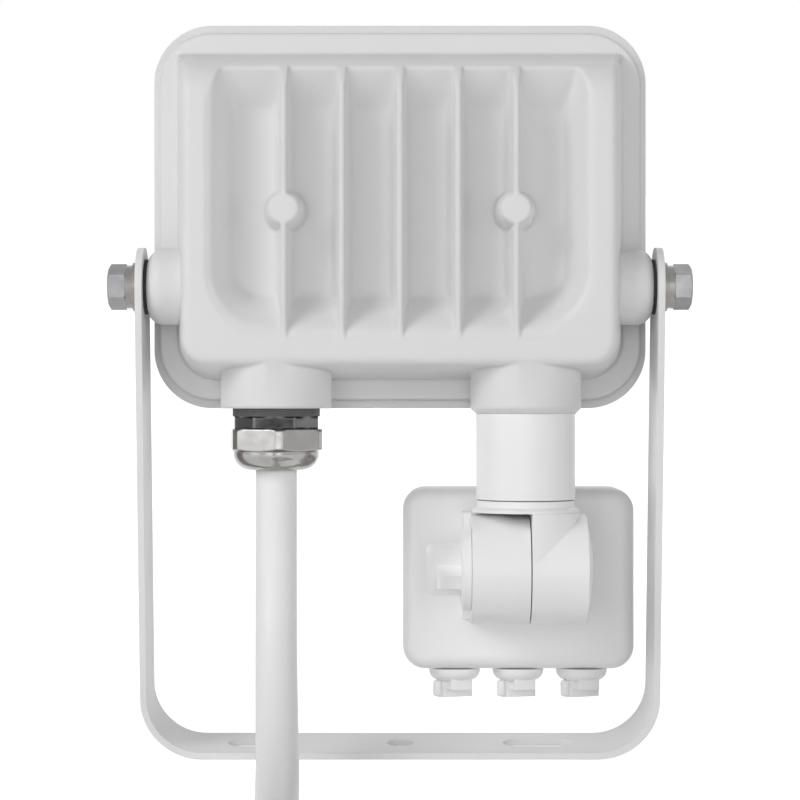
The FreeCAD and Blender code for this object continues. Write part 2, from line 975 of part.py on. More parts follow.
def make_pivot_side(side, word):
    """Rubber washer, flat washer, split lock washer and hexagon bolt on one side."""

    def start(near, far):
        """The lower end along X of a piece that lies between two distances from the middle."""
        return near if side > 0 else f"-({far})"

    outside = "leg_inside + strip_thick"
    rubber = ring(
        "rubber_washer",
        "bolt_hole",
        "leg_inside - pivot_boss_end",
        (start("pivot_boss_end", "leg_inside"), "0", "0"),
        "x",
    )
    sub_part(rubber, f"rubber_washer_{word}")
    flat_end = f"{outside} + flat_washer_thick"
    flat = ring(
        "flat_washer", "bolt_hole", "flat_washer_thick", (start(outside, flat_end), "0", "0"), "x"
    )
    sub_part(flat, f"flat_washer_{word}")
    lock_end = f"{flat_end} + lock_washer_thick"
    lock_ring = ring(
        "lock_washer", "bolt_hole", "lock_washer_thick", (start(flat_end, lock_end), "0", "0"), "x"
    )
    slit = box(
        ("lock_washer_thick", "lock_washer_gap", "lock_washer * 2"),
        (start(flat_end, lock_end), "-lock_washer_gap / 2", "0"),
    )
    sub_part(cut(lock_ring, [slit]), f"lock_washer_{word}")
    head_end = f"{lock_end} + bolt_head_high"
    head = prism(
        "bolt_across_flats / sqrt(3)", "bolt_head_high", (start(lock_end, head_end), "0", "0"), "x", 0.0
    )
    apex = f"{head_end} + bolt_across_flats * 0.25"
    cone = doc.addObject("Part::Cone", "cone")
    bind(cone, "Radius1", "bolt_across_flats * 1.5")
    bind(cone, "Radius2", "bolt_across_flats * 0.47")
    bind(cone, "Height", "bolt_across_flats * 0.6")
    turn = 90 if side > 0 else -90
    cone.Placement = FreeCAD.Placement(Vector(), FreeCAD.Rotation(Vector(0, 1, 0), turn))
    bind_place(cone, "Placement", (f"{side} * ({head_end} - bolt_across_flats * 0.6)", "0", "0"))
    shank = cylinder(
        "bolt_shank", f"{lock_end} - bolt_reach", (start("bolt_reach", lock_end), "0", "0"), "x"
    )
    sub_part(join([shared(head, cone), shank]), f"pivot_bolt_{word}")


# Cable gland

def make_gland():
    axis_place = ("gland_across", "lower_axis", "washer_low")
    washer = ring("washer_outer", "gland_thread", "lower_boss_end - washer_low", axis_place)
    sub_part(washer, "gland_washer")

    hexagon = prism(
        "body_corner", "washer_low - body_low", ("gland_across", "lower_axis", "body_low"), "z", 0.0
    )
    thread = cylinder(
        "gland_thread", "gland_thread_top - washer_low", ("gland_across", "lower_axis", "washer_low")
    )
    stub = cylinder("body_stub", "body_low - body_stub_low", ("gland_across", "lower_axis", "body_stub_low"))
    bore = cylinder(
        "body_bore", "gland_thread_top - body_stub_low", ("gland_across", "lower_axis", "body_stub_low")
    )
    pocket = cylinder(
        "seal_radius", "seal_top - body_stub_low", ("gland_across", "lower_axis", "body_stub_low")
    )
    sub_part(cut(join([hexagon, thread, stub]), [bore, pocket]), "gland_body")

    seal = ring(
        "seal_radius", "seal_bore", "seal_top - seal_low", ("gland_across", "lower_axis", "seal_low")
    )
    sub_part(seal, "gland_seal")

    make_gland_nut()

    inner = turned(
        "cord_in_gland_body",
        "xz",
        ("gland_across", "0", "-lower_axis"),
        "V_Axis",
        [
            ("0", "seal_low"),
            ("cord_radius", "seal_low"),
            ("cord_radius", "thread_top - 1"),
            ("0", "thread_top - 1"),
        ],
    )
    sub_part(inner, "cord_in_gland")


def make_gland_nut():
    """A domed hexagon nut: the dome and the turned corners are one revolve, cut by the hexagon."""
    body = turned(
        "nut_round_body",
        "xz",
        ("gland_across", "0", "-lower_axis"),
        "V_Axis",
        [
            ("0", "nut_low"),
            ("nut_dome", "nut_low"),
            ("nut_dome", "nut_hex_low"),
            ("nut_corner_turned", "nut_hex_low + 0.5"),
            ("nut_corner_turned", "body_low - 0.4"),
            ("nut_corner_turned - 0.4", "body_low"),
            ("0", "body_low"),
        ],
    )
    low = size("nut_low")
    dress(body, "Fillet", "nut_dome_edge", lambda edge: lies_at(edge, "z", low) and edge.Length > 20)
    hexagon = prism(
        "nut_across_flats / sqrt(3)", "body_low - nut_low", ("gland_across", "lower_axis", "nut_low"), "z", 36.7
    )
    stub_room = cylinder(
        "body_stub", "body_low - body_stub_low", ("gland_across", "lower_axis", "body_stub_low")
    )
    seal_room = cylinder(
        "seal_radius", "body_stub_low - seal_low", ("gland_across", "lower_axis", "seal_low")
    )
    mouth = cylinder("nut_mouth", "seal_low - nut_low", ("gland_across", "lower_axis", "nut_low"))
    sub_part(cut(shared(body, hexagon), [stub_room, seal_room, mouth]), "gland_nut")


# Sensor arm and swivel

def make_arm():
    arm = turned(
        "arm_body",
        "xz",
        ("arm_across", "0", "-lower_axis"),
        "V_Axis",
        [
            ("arm_wire_hole", "arm_top"),
            ("arm_thread", "arm_top"),
            ("arm_thread", "arm_boss_end"),
            ("arm_radius", "arm_boss_end"),
            ("arm_radius", "arm_low"),
            ("arm_bore", "arm_low"),
            ("arm_bore", "clip_groove_low"),
            ("clip_groove", "clip_groove_low"),
            ("clip_groove", "clip_groove_high"),
            ("arm_bore", "clip_groove_high"),
            ("arm_bore", "arm_bore_top"),
            ("arm_wire_hole", "arm_bore_top"),
        ],
    )
    sub_part(arm, "sensor_arm")


def make_fork():
    """Hollow spigot and collar, and below them the half column and the right half of the knuckle."""
    body = turned(
        "fork_body",
        "xz",
        ("arm_across", "0", "-lower_axis"),
        "V_Axis",
        [
            ("spigot_bore", "collar_low"),
            ("collar_flare", "collar_low"),
            ("collar_flare", "collar_edge_top"),
            ("collar", "collar_flare_top"),
            ("collar", "collar_top"),
            ("spigot", "collar_top"),
            ("spigot", "clip_low"),
            ("clip_inner", "clip_low"),
            ("clip_inner", "clip_high"),
            ("spigot", "clip_high"),
            ("spigot", "spigot_top"),
            ("spigot_bore", "spigot_top"),
        ],
    )
    column = circles(
        sketch_on(body, "xy", ("0", "0", "knuckle_up")), [("arm_across", "lower_axis")], "knuckle"
    )
    feature(body, "Pad", column, "collar_low - knuckle_up")
    knuckle = circles(
        sketch_on(body, "yz", ("0", "0", "fork_inside")), [("lower_axis", "knuckle_up")], "knuckle"
    )
    feature(body, "Pad", knuckle, "fork_end - fork_inside")
    room = polygon(
        sketch_on(body, "yz", ("0", "0", "fork_inside")),
        [
            ("lower_axis - knuckle * 1.2", "knuckle_up - knuckle"),
            ("lower_axis + knuckle * 1.2", "knuckle_up - knuckle"),
            ("lower_axis + knuckle * 1.2", "collar_low"),
            ("lower_axis - knuckle * 1.2", "collar_low"),
        ],
    )
    feature(body, "Pocket", room, "knuckle * 2")
    hole = circles(
        sketch_on(body, "yz", ("0", "0", "fork_inside")), [("lower_axis", "knuckle_up")], "clamp_hole"
    )
    feature(body, "Pocket", hole, "clamp_nut_in - fork_inside", Reversed=True)
    pocket = circles(
        sketch_on(body, "yz", ("0", "0", "fork_end")), [("lower_axis", "knuckle_up")], "clamp_pocket"
    )
    feature(body, "Pocket", pocket, "fork_end - clamp_nut_in")
    sub_part(body, "swivel_fork")


def make_swivel_fittings():
    clip_place = ("arm_across", "lower_axis", "clip_low")
    gap = box(
        ("clip_gap", "clip_outer", "clip_high - clip_low"),
        ("arm_across - clip_gap / 2", "lower_axis", "clip_low"),
    )
    clip = cut(ring("clip_outer", "clip_inner", "clip_high - clip_low", clip_place), [gap])
    sub_part(clip, "swivel_clip")

    nut = prism(
        "clamp_nut_corner", "clamp_nut_long", ("clamp_nut_in", "lower_axis", "knuckle_up"), "x"
    )
    nut_hole = cylinder(
        "clamp_shank", "clamp_nut_long", ("clamp_nut_in", "lower_axis", "knuckle_up"), "x"
    )
    sub_part(cut(nut, [nut_hole]), "clamp_nut")

    dome = "(cap_radius ^ 2 + cap_high ^ 2) / (2 * cap_high)"
    ball = sphere(dome, (f"fork_end + cap_high - {dome}", "lower_axis", "knuckle_up"))
    disc = cylinder("cap_radius", "cap_high", ("fork_end", "lower_axis", "knuckle_up"), "x")
    sub_part(shared(ball, disc), "hinge_cap")


# Sensor head

def knob_across(number):
    return f"knob_first + {number} * knob_step"


def make_head_back():
    """Rear half of the sensor box, with the neck and the left half of the knuckle."""
    body = new_body("head_back_body")
    shell = rounded(
        sketch_on(body, "xz", ("0", "0", "-head_seam")),
        "head_left",
        "head_low",
        "head_right",
        "head_high",
        ["head_corner"] * 4,
    )
    feature(body, "Pad", shell, "head_seam - head_back")
    back = size("head_back")
    dress(body, "Fillet", "head_edge", lambda edge: lies_at(edge, "y", back))
    neck = polygon(
        sketch_on(body, "xz", ("0", "0", "-head_back")),
        [
            ("head_knuckle_left", "knuckle_up - knuckle"),
            ("head_knuckle_right", "knuckle_up - knuckle"),
            ("head_knuckle_right", "knuckle_up + knuckle"),
            ("head_knuckle_left", "knuckle_up + knuckle"),
        ],
    )
    feature(body, "Pad", neck, "head_back - lower_axis")
    step = polygon(
        sketch_on(body, "xz", ("0", "0", "-head_back")),
        [
            ("neck_left", "knuckle_up - knuckle"),
            ("head_knuckle_left", "knuckle_up - knuckle"),
            ("head_knuckle_left", "knuckle_up + knuckle"),
            ("neck_left", "knuckle_up + knuckle"),
        ],
    )
    feature(body, "Pad", step, "head_back - neck_step")
    knuckle = circles(
        sketch_on(body, "yz", ("0", "0", "head_knuckle_left")), [("lower_axis", "knuckle_up")], "knuckle"
    )
    feature(body, "Pad", knuckle, "head_knuckle_right - head_knuckle_left")
    hole = circles(
        sketch_on(body, "yz", ("0", "0", "head_knuckle_left")), [("lower_axis", "knuckle_up")], "clamp_hole"
    )
    feature(body, "Pocket", hole, "head_knuckle_right - head_knuckle_left", Reversed=True)
    room = rounded(
        sketch_on(body, "xz", ("0", "0", "-head_seam")),
        "head_left + head_wall",
        "head_low + head_wall",
        "head_right - head_wall",
        "head_high - head_wall",
        ["head_inner_corner"] * 4,
    )
    feature(body, "Pocket", room, "head_seam - head_back - head_wall", Reversed=True)
    posts = circles(
        sketch_on(body, "xz", ("0", "0", "-head_back - head_wall")),
        [
            ("head_left + 6", "head_high - 6"),
            ("head_right - 6", "head_high - 6"),
            ("head_left + 6", "head_low + 14"),
            ("head_right - 6", "head_low + 14"),
        ],
        "head_post",
    )
    feature(body, "Pad", posts, "sensor_board_back - head_back - head_wall", Reversed=True)
    stems = circles(
        sketch_on(body, "xy", ("0", "0", "head_low")),
        [(knob_across(number), "knob_away") for number in range(3)],
        "stem_hole",
    )
    feature(body, "Pocket", stems, "head_wall * 1.1", Reversed=True)
    sub_part(body, "sensor_back_shell")


def make_head_front():
    body = new_body("head_front_body")
    shell = rounded(
        sketch_on(body, "xz", ("0", "0", "-head_front")),
        "head_left",
        "head_low",
        "head_right",
        "head_high",
        ["head_corner"] * 4,
    )
    feature(body, "Pad", shell, "head_front - head_seam")
    front = size("head_front")
    dress(body, "Fillet", "head_front_edge", lambda edge: lies_at(edge, "y", front))
    room = rounded(
        sketch_on(body, "xz", ("0", "0", "-head_seam")),
        "head_left + head_wall",
        "head_low + head_wall",
        "head_right - head_wall",
        "head_high - head_wall",
        ["head_inner_corner"] * 4,
    )
    feature(body, "Pocket", room, "head_front - head_seam - head_wall")
    opening = circles(
        sketch_on(body, "xz", ("0", "0", "-head_front")), [("lens_across", "lens_up")], "lens_opening"
    )
    feature(body, "Pocket", opening, "head_front", Reversed=True)
    sub_part(body, "sensor_front_shell")


def make_lens():
    """A thin domed lens with a flange that the front shell holds."""
    centre = ("lens_across", "lens_centre", "lens_up")
    inside = "head_front - head_wall"
    dome = shared(
        sphere("lens_sphere", centre),
        cylinder("lens_flange", "lens_sphere * 2", ("lens_across", inside, "lens_up"), "y"),
    )
    flange = cylinder(
        "lens_flange", f"{inside} - lens_flange_back", ("lens_across", "lens_flange_back", "lens_up"), "y"
    )
    hollow = sphere("lens_sphere - lens_thick", centre)
    sub_part(cut(join([dome, flange]), [hollow]), "sensor_lens")


def make_head_inside():
    plate = box(
        (
            "head_right - head_left - 2 * head_wall - 4",
            "sensor_board_front - sensor_board_back",
            "head_high - head_low - 2 * head_wall - 6",
        ),
        ("head_left + head_wall + 2", "sensor_board_back", "head_low + head_wall + 4"),
    )
    notch = box(
        ("3", "sensor_board_front - sensor_board_back", "3"),
        ("head_left + head_wall + 2", "sensor_board_back", "head_high - head_wall - 5"),
    )
    sub_part(cut(plate, [notch]), "sensor_board")

    can = cylinder("can_radius", "can_high", ("lens_across", "sensor_board_front", "lens_up"), "y")
    rim = cylinder("can_radius + 0.5", "0.6", ("lens_across", "sensor_board_front", "lens_up"), "y")
    sub_part(join([can, rim]), "motion_detector")

    pots = []
    for number in range(3):
        pots.append(
            box(
                ("pot_wide", "pot_deep", "pot_tall"),
                (f"{knob_across(number)} - pot_wide / 2", "sensor_board_back - pot_deep", "stem_top"),
            )
        )
    sub_part(group(pots), "setting_dials")


def make_knob(number, name):
    """Bowl-shaped skirt with a grip bar across it and a pointer block in front."""
    across = knob_across(number)
    body = turned(
        f"{name}_body",
        "xz",
        (across, "0", "-knob_away"),
        "V_Axis",
        [("0", "skirt_low"), ("skirt", "skirt_low"), ("skirt", "knob_top"), ("0", "knob_top")],
    )
    low = size("skirt_low")
    dress(body, "Fillet", "skirt_round", lambda edge: lies_at(edge, "z", low))
    stem = circles(
        sketch_on(body, "xy", ("0", "0", "knob_top")), [(across, "knob_away")], "stem"
    )
    feature(body, "Pad", stem, "stem_top - knob_top")
    grip = rounded(
        sketch_on(body, "xy", (across, "knob_away", "knob_low"), size("grip_turn")),
        "-grip_half",
        "-grip_thick",
        "grip_half",
        "grip_thick",
        ["grip_round"] * 4,
    )
    feature(body, "Pad", grip, "skirt_low - knob_low + 0.5")
    pointer = rounded(
        sketch_on(body, "xy", (across, "knob_away", "pointer_low"), size("grip_turn")),
        "-pointer_half",
        "-pointer_reach",
        "pointer_half",
        "0",
        ["0.3"] * 4,
    )
    feature(body, "Pad", pointer, "skirt_low - pointer_low + 1.2")
    sub_part(body, name)


def make_wing_screw():
    """Clamping screw with a round flange and a cross-shaped grip."""
    body = turned(
        "wing_body",
        "xz",
        ("0", "knuckle_up", "-lower_axis"),
        "H_Axis",
        [
            ("wing_flange_left", "0"),
            ("wing_flange_left", "wing_flange"),
            ("wing_flange_right", "wing_flange"),
            ("wing_flange_right", "clamp_shank"),
            ("clamp_shank_end", "clamp_shank"),
            ("clamp_shank_end", "0"),
        ],
    )
    rim = size("wing_flange")
    dress(
        body,
        "Fillet",
        "wing_flange_edge",
        lambda edge: lies_at(edge, "x", size("wing_flange_left")) and edge.Length > rim,
    )
    wing = rounded(
        sketch_on(body, "xz", ("0", "knuckle_up", "-lower_axis")),
        "wing_left",
        "-wing_half",
        "wing_flange_left + 1.8",
        "wing_half",
        ["0.3", "0.3", "wing_round", "wing_round"],
    )
    feature(body, "Pad", wing, "wing_thick * 2", Midplane=True)
    rib = rounded(
        sketch_on(body, "xy", ("0", "lower_axis", "knuckle_up")),
        "rib_left",
        "-rib_reach",
        "wing_flange_left + 1",
        "rib_reach",
        ["0.3", "0.3", "0.8", "0.8"],
    )
    feature(body, "Pad", rib, "rib_half * 2", Midplane=True)
    sub_part(body, "wing_screw")


# Supply cord

def cord_points():
    """The route of the cord from the gland to the coil: corners that arcs then round off."""
    lean = math.radians(size("lean"))
    gland = Vector(size("gland_across"), size("lower_axis"), size("seal_low"))
    away = gland.y * math.cos(lean) + gland.z * math.sin(lean)
    up = size("bolt_height") - gland.y * math.sin(lean) + gland.z * math.cos(lean)
    start = Vector(gland.x, away, up)
    down = Vector(0, -math.sin(lean), -math.cos(lean))
    floor = size("cord_radius")
    bend = start + down * 24.0
    curve = Vector(-24.5, -22.8, 17.7)
    landing = Vector(-23.4, -49.0, floor)
    coil_x = size("coil_across") - size("coil_turn_outer")
    middle = Vector(-25.5, -78.0, floor)
    late = Vector(-33.0, -107.5, floor)
    end = Vector(coil_x, size("coil_along"), floor)
    return [start, bend, curve, landing, middle, late, end]


def rounded_path(points):
    """Straight runs joined by tangent arcs, as one wire. The radii are printed."""
    edges = []
    at = points[0]
    radii = []
    for before, corner, after in zip(points, points[1:], points[2:]):
        come = corner - before
        go = after - corner
        half_turn = come.getAngle(go) / 2
        reach = 0.45 * min(come.Length, go.Length)
        radii.append(round(reach / math.tan(half_turn), 1))
        come.normalize()
        go.normalize()
        first = corner - come * reach
        last = corner + go * reach
        towards = go - come
        towards.normalize()
        centre = corner + towards * (reach / math.sin(half_turn))
        middle = centre - towards * (reach / math.tan(half_turn))
        edges.append(Part.LineSegment(at, first).toShape())
        edges.append(Part.Arc(first, middle, last).toShape())
        at = last
    edges.append(Part.LineSegment(at, points[-1]).toShape())
    print("cord bend radii", radii)
    return Part.Wire(edges)


def make_cord_drop():
    """The cord from the gland down to the floor and along it to the coil."""
    points = cord_points()
    path = rounded_path(points)
    circle = Part.Circle(points[0], points[1] - points[0], size("cord_radius"))
    section = Part.Wire([circle.toShape()])
    tube = path.makePipeShell([section], True, False)
    made = doc.addObject("Part::Feature", "cord_drop")
    made.Shape = tube
    made.Placement = FreeCAD.Placement()
    expected = math.pi * size("cord_radius") ** 2 * path.Length
    print("cord path", round(path.Length, 1), "volume", round(tube.Volume), "expected", round(expected))
    sub_part(made, "supply_cord_drop", leaned=False)


def coil_base(middle, grow, low):
    """The section of the two turns on the floor, on one side of the coil, as a rectangle."""
    inner = f"{middle} + coil_turn_inner - cord_radius - {grow}"
    outer = f"{middle} + coil_turn_outer + cord_radius + {grow}"
    top = f"cord_radius * 2 + {grow}"
    return [(inner, low), (outer, low), (outer, top), (inner, top)]


def coil_upper(middle):
    """The section of the half turn that lies in the groove between the two."""
    inner = f"{middle} + coil_turn_upper - cord_radius"
    outer = f"{middle} + coil_turn_upper + cord_radius"
    top = "cord_radius * 2 + coil_rise"
    return [(inner, "cord_radius"), (outer, "cord_radius"), (outer, top), (inner, top)]


def make_cord_coil():
    """The rest of the cord, wound into two turns and a half, and its end that lies beside them."""
    body = new_body("coil_body")
    centre = ("coil_across", "0", "-coil_along")
    base = polygon(sketch_on(body, "xz", centre), coil_base("0", "0", "0"))
    spin(body, "Revolution", base, "V_Axis")
    upper = polygon(sketch_on(body, "xz", centre), coil_upper("0"))
    half = spin(body, "Revolution", upper, "V_Axis")
    half.Angle = 180.0
    half.Reversed = True
    tail = circles(
        sketch_on(body, "xz", ("0", "0", "-coil_along")),
        [("coil_across + tail_across", "cord_radius")],
        "cord_radius",
    )
    feature(body, "Pad", tail, "tail_long", Reversed=True)
    groove = polygon(
        sketch_on(body, "yz", ("0", "0", "coil_across")),
        [
            ("coil_along - coil_turn_outer - cord_radius - 1", "0"),
            ("coil_along - coil_turn_inner + cord_radius + 1", "0"),
            ("coil_along - coil_turn_inner + cord_radius + 1", "tie_thick"),
            ("coil_along - coil_turn_outer - cord_radius - 1", "tie_thick"),
        ],
    )
    feature(body, "Pocket", groove, "tie_wide + 2 * tie_slack", Midplane=True)
    sub_part(body, "supply_cord_coil", leaned=False)


def make_cord_cores():
    """Three insulated cores with bare ends, coming out of the cord's cut end."""
    cores = []
    for number in range(3):
        angle = math.radians(120 * number + 90)
        across = f"coil_across + tail_across + core_spread * {round(math.cos(angle), 4)}"
        up = f"cord_radius + core_spread * {round(math.sin(angle), 4)}"
        start = "coil_along + tail_long"
        core = cylinder("core_radius", "core_long", (across, start, up), "y")
        strands = cylinder("strand_radius", "strand_long", (across, f"{start} + core_long", up), "y")
        cores.append(join([core, strands]))
    sub_part(group(cores), "cord_cores", leaned=False)


def make_cord_tie():
    """A flat tie pulled round the turns on the side away from the lamp."""
    body = new_body("tie_body")
    near = "coil_along - coil_turn_outer - cord_radius - tie_thick"
    far = "coil_along - coil_turn_inner + cord_radius + tie_thick"
    side = "cord_radius * 1.4 + tie_thick"
    low_top = "coil_along - coil_turn_upper - cord_radius"
    high_top = "coil_along - coil_turn_upper + cord_radius"
    top = "cord_radius * 2 + coil_rise + tie_thick"
    around = polygon(
        sketch_on(body, "yz", ("0", "0", "coil_across")),
        [
            (near, "0"),
            (far, "0"),
            (far, f"{side} + 2"),
            (high_top, f"{top}"),
            (low_top, f"{top}"),
            (near, f"{side} + 2"),
        ],
    )
    feature(body, "Pad", around, "tie_wide", Midplane=True)
    inside = polygon(
        sketch_on(body, "yz", ("0", "0", "coil_across")),
        [
            (f"{near} + tie_thick - tie_slack", "tie_thick"),
            (f"{far} - tie_thick + tie_slack", "tie_thick"),
            (f"{far} - tie_thick + tie_slack", "cord_radius * 2 + tie_slack"),
            (f"{high_top} + tie_slack", "cord_radius * 2 + coil_rise + tie_slack"),
            (f"{low_top} - tie_slack", "cord_radius * 2 + coil_rise + tie_slack"),
            (f"{near} + tie_thick - tie_slack", "cord_radius * 2 + tie_slack"),
        ],
    )
    feature(body, "Pocket", inside, "tie_wide * 2", Midplane=True)
    sub_part(body, "cord_tie", leaned=False)


def check_and_write():
    """Stop on any object that failed, and write each sub-part to its own file."""
    doc.recompute()
    for thing in doc.Objects:
        if "Invalid" in thing.State or "Error" in thing.State:
            raise RuntimeError(f"{thing.Name} ({thing.Label}) did not compute: {thing.State}")
    os.makedirs("parts", exist_ok=True)
    for made in sub_parts:
        shape = made.Shape
        if shape.isNull() or not shape.isValid() or shape.Volume <= 0:
            raise RuntimeError(f"{made.Label} has no valid solid")
        shape.exportStep(os.path.join("parts", f"{made.Label}.step"))
    print(len(sub_parts), "sub-parts written")


def main():
    fill_sheet()
    make_bracket()
    make_housing()
    make_frame()
    make_glass()
    make_gasket()
    make_reflector()
    make_led_board()
    make_board_screws()
    make_led_chips()
    make_terminal_block()
    for side, word in ((-1, "left"), (1, "right")):
        make_pivot_side(side, word)
    make_gland()
    make_arm()
    make_fork()
    make_swivel_fittings()
    make_head_back()
    make_head_front()
    make_lens()
    make_head_inside()
    for number, name in enumerate(("range_knob", "light_level_knob", "time_knob")):
        make_knob(number, name)
    make_wing_screw()
    make_cord_drop()
    make_cord_coil()
    make_cord_cores()
    make_cord_tie()
    check_and_write()


main()
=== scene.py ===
"""Small white floodlight with a motion sensor head, seen from behind, on its bracket."""
import math

import bmesh
import bpy
from mathutils import Matrix, Vector


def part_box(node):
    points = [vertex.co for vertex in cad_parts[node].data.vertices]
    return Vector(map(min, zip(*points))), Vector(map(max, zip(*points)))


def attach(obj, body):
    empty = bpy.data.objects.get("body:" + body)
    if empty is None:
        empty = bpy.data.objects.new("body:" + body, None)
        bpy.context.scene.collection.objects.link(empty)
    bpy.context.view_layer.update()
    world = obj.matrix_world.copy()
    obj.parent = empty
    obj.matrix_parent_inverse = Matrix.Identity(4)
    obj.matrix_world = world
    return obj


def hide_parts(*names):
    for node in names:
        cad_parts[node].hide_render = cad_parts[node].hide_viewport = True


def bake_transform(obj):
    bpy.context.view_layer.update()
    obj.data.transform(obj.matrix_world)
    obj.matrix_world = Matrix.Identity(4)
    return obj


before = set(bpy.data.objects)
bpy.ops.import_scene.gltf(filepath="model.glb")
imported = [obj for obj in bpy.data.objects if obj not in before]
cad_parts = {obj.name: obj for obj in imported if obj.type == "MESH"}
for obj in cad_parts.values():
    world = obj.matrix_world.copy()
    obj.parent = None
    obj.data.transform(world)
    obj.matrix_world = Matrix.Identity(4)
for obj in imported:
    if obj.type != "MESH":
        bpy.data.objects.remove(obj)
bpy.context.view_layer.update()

MM = 0.001

# the lamp leans forward about its bolts, and the camera looks square at its back
LEAN = math.radians(7)
BOLT_HEIGHT = 96.5 * MM
CAMERA_AWAY = 488.5 * MM
CAMERA_DROP = 23.0 * MM
LENS = 108.0

# rear housing, in millimetres about the bolt axis of the leaned lamp
BLOCK_BACK = -13.0
BLOCK_HIGH = 48.5
FLANGE_BACK = 7.5
CREASE_HIGH = 44.3
SLOPE_START = 36.0
SLOPE_ROUND = 10.0
RECESS_DEEP = 9.2
RECESS_SIDE = 37.3
RECESS_LOW = -9.3
RECESS_TURN = 12.3
SIDE_WALL = 4.0
LOW_RAMP = 7.8
TOP_RAMP_HIGH = 48.9
TOP_RAMP = 14.8
FIN_PITCH = 11.55
FIN_HALF = 0.95
POST_RADIUS = 3.5
POST_UP = 15.0
POST_LOWER = 0.3
SKIN_SIDE = 39.6
SKIN_LOW = -11.7
SKIN_HIGH = 45.6
SKIN_GAP = 0.25
SKIN_COLUMNS = 286
SKIN_ROWS = 150

# sensor: its wing screw and the ends of the knobs' grips
LOWER_AXIS = -1.5
KNUCKLE_UP = -57.3
WING_TURN = math.radians(28)
KNOB_STEP = 13.4
KNOB_HOOK = (7.9, 16.4, -83.6)

# supply cord
CORD_RADIUS = 4.2 * MM
COIL_CENTRE = Vector((8.0, -136.0, 0.0)) * MM
TURN_OUTER = 47.0 * MM
TURN_INNER = 38.6 * MM
TURN_UPPER = 42.8 * MM
UPPER_LIFT = 7.3 * MM
POINTS_A_TURN = 16
CORD_END = Vector((52.5, -90.0, 4.2)) * MM


def lamp_point(across, away, up):
    """A point given about the bolt axis of the leaned lamp, in millimetres, placed in the frame."""
    turned_away = away * math.cos(LEAN) + up * math.sin(LEAN)
    turned_up = up * math.cos(LEAN) - away * math.sin(LEAN)
    return Vector((across * MM, turned_away * MM, BOLT_HEIGHT + turned_up * MM))


# Materials

def new_material(name):
    """A material with a principled shader. Returns it with its node tree and its shader."""
    material = bpy.data.materials.new(name)
    material.use_nodes = True
    tree = material.node_tree
    return material, tree, tree.nodes["Principled BSDF"]


def add_node(tree, kind, **values):
    node = tree.nodes.new(kind)
    for name, value in values.items():
        setattr(node, name, value)
    return node


def object_noise(tree, scale, detail=3.0, roughness=0.5):
    """Noise fixed to the piece's own coordinates, scale in features per metre."""
    place = add_node(tree, "ShaderNodeTexCoord")
    noise = add_node(tree, "ShaderNodeTexNoise")
    noise.inputs["Scale"].default_value = scale
    noise.inputs["Detail"].default_value = detail
    noise.inputs["Roughness"].default_value = roughness
    tree.links.new(place.outputs["Object"], noise.inputs["Vector"])
    return noise


def ramp(tree, source, stops):
    """A colour ramp over a source. Stops are pairs of a place and a grey level or a colour."""
    made = add_node(tree, "ShaderNodeValToRGB")
    elements = made.color_ramp.elements
    while len(elements) < len(stops):
        elements.new(0.5)
    for element, (place, level) in zip(elements, stops):
        element.position = place
        colour = level if isinstance(level, tuple) else (level, level, level)
        element.color = (*colour, 1.0)
    tree.links.new(source, made.inputs["Fac"])
    return made


def bump(tree, shader, height, strength, distance, soft_edge=0.0):
    """Surface relief, over edges that are softened by a small radius."""
    made = add_node(tree, "ShaderNodeBump")
    made.inputs["Strength"].default_value = strength
    made.inputs["Distance"].default_value = distance
    tree.links.new(height, made.inputs["Height"])
    if soft_edge:
        edge = add_node(tree, "ShaderNodeBevel", samples=8)
        edge.inputs["Radius"].default_value = soft_edge
        tree.links.new(edge.outputs["Normal"], made.inputs["Normal"])
    tree.links.new(made.outputs["Normal"], shader.inputs["Normal"])


def powder_coat(name, colour, roughness, soft_edge):
    """Baked powder paint: a fine orange-peel skin with slightly uneven gloss and tone."""
    material, tree, shader = new_material(name)
    shade = object_noise(tree, 60.0, 2.0)
    low = tuple(channel * 0.985 for channel in colour)
    tone = ramp(tree, shade.outputs["Fac"], [(0.3, low), (0.7, colour)])
    tree.links.new(tone.outputs["Color"], shader.inputs["Base Color"])
    gloss = ramp(tree, shade.outputs["Fac"], [(0.3, roughness - 0.04), (0.7, roughness + 0.04)])
    tree.links.new(gloss.outputs["Color"], shader.inputs["Roughness"])
    peel = object_noise(tree, 1900.0, 2.0)
    bump(tree, shader, peel.outputs["Fac"], 0.12, 0.00012, soft_edge)
    return material


def moulded(name, colour, roughness, soft_edge=0.0003, grain=0.06):
    """Moulded plastic: even colour, a trace of flow marks and a fine spark-eroded skin."""
    material, tree, shader = new_material(name)
    flow = object_noise(tree, 45.0, 2.0)
    low = tuple(channel * 0.98 for channel in colour)
    tone = ramp(tree, flow.outputs["Fac"], [(0.35, low), (0.65, colour)])
    tree.links.new(tone.outputs["Color"], shader.inputs["Base Color"])
    gloss = ramp(tree, flow.outputs["Fac"], [(0.3, roughness - 0.03), (0.7, roughness + 0.03)])
    tree.links.new(gloss.outputs["Color"], shader.inputs["Roughness"])
    skin = object_noise(tree, 2600.0, 2.0)
    bump(tree, shader, skin.outputs["Fac"], grain, 0.00008, soft_edge)
    return material


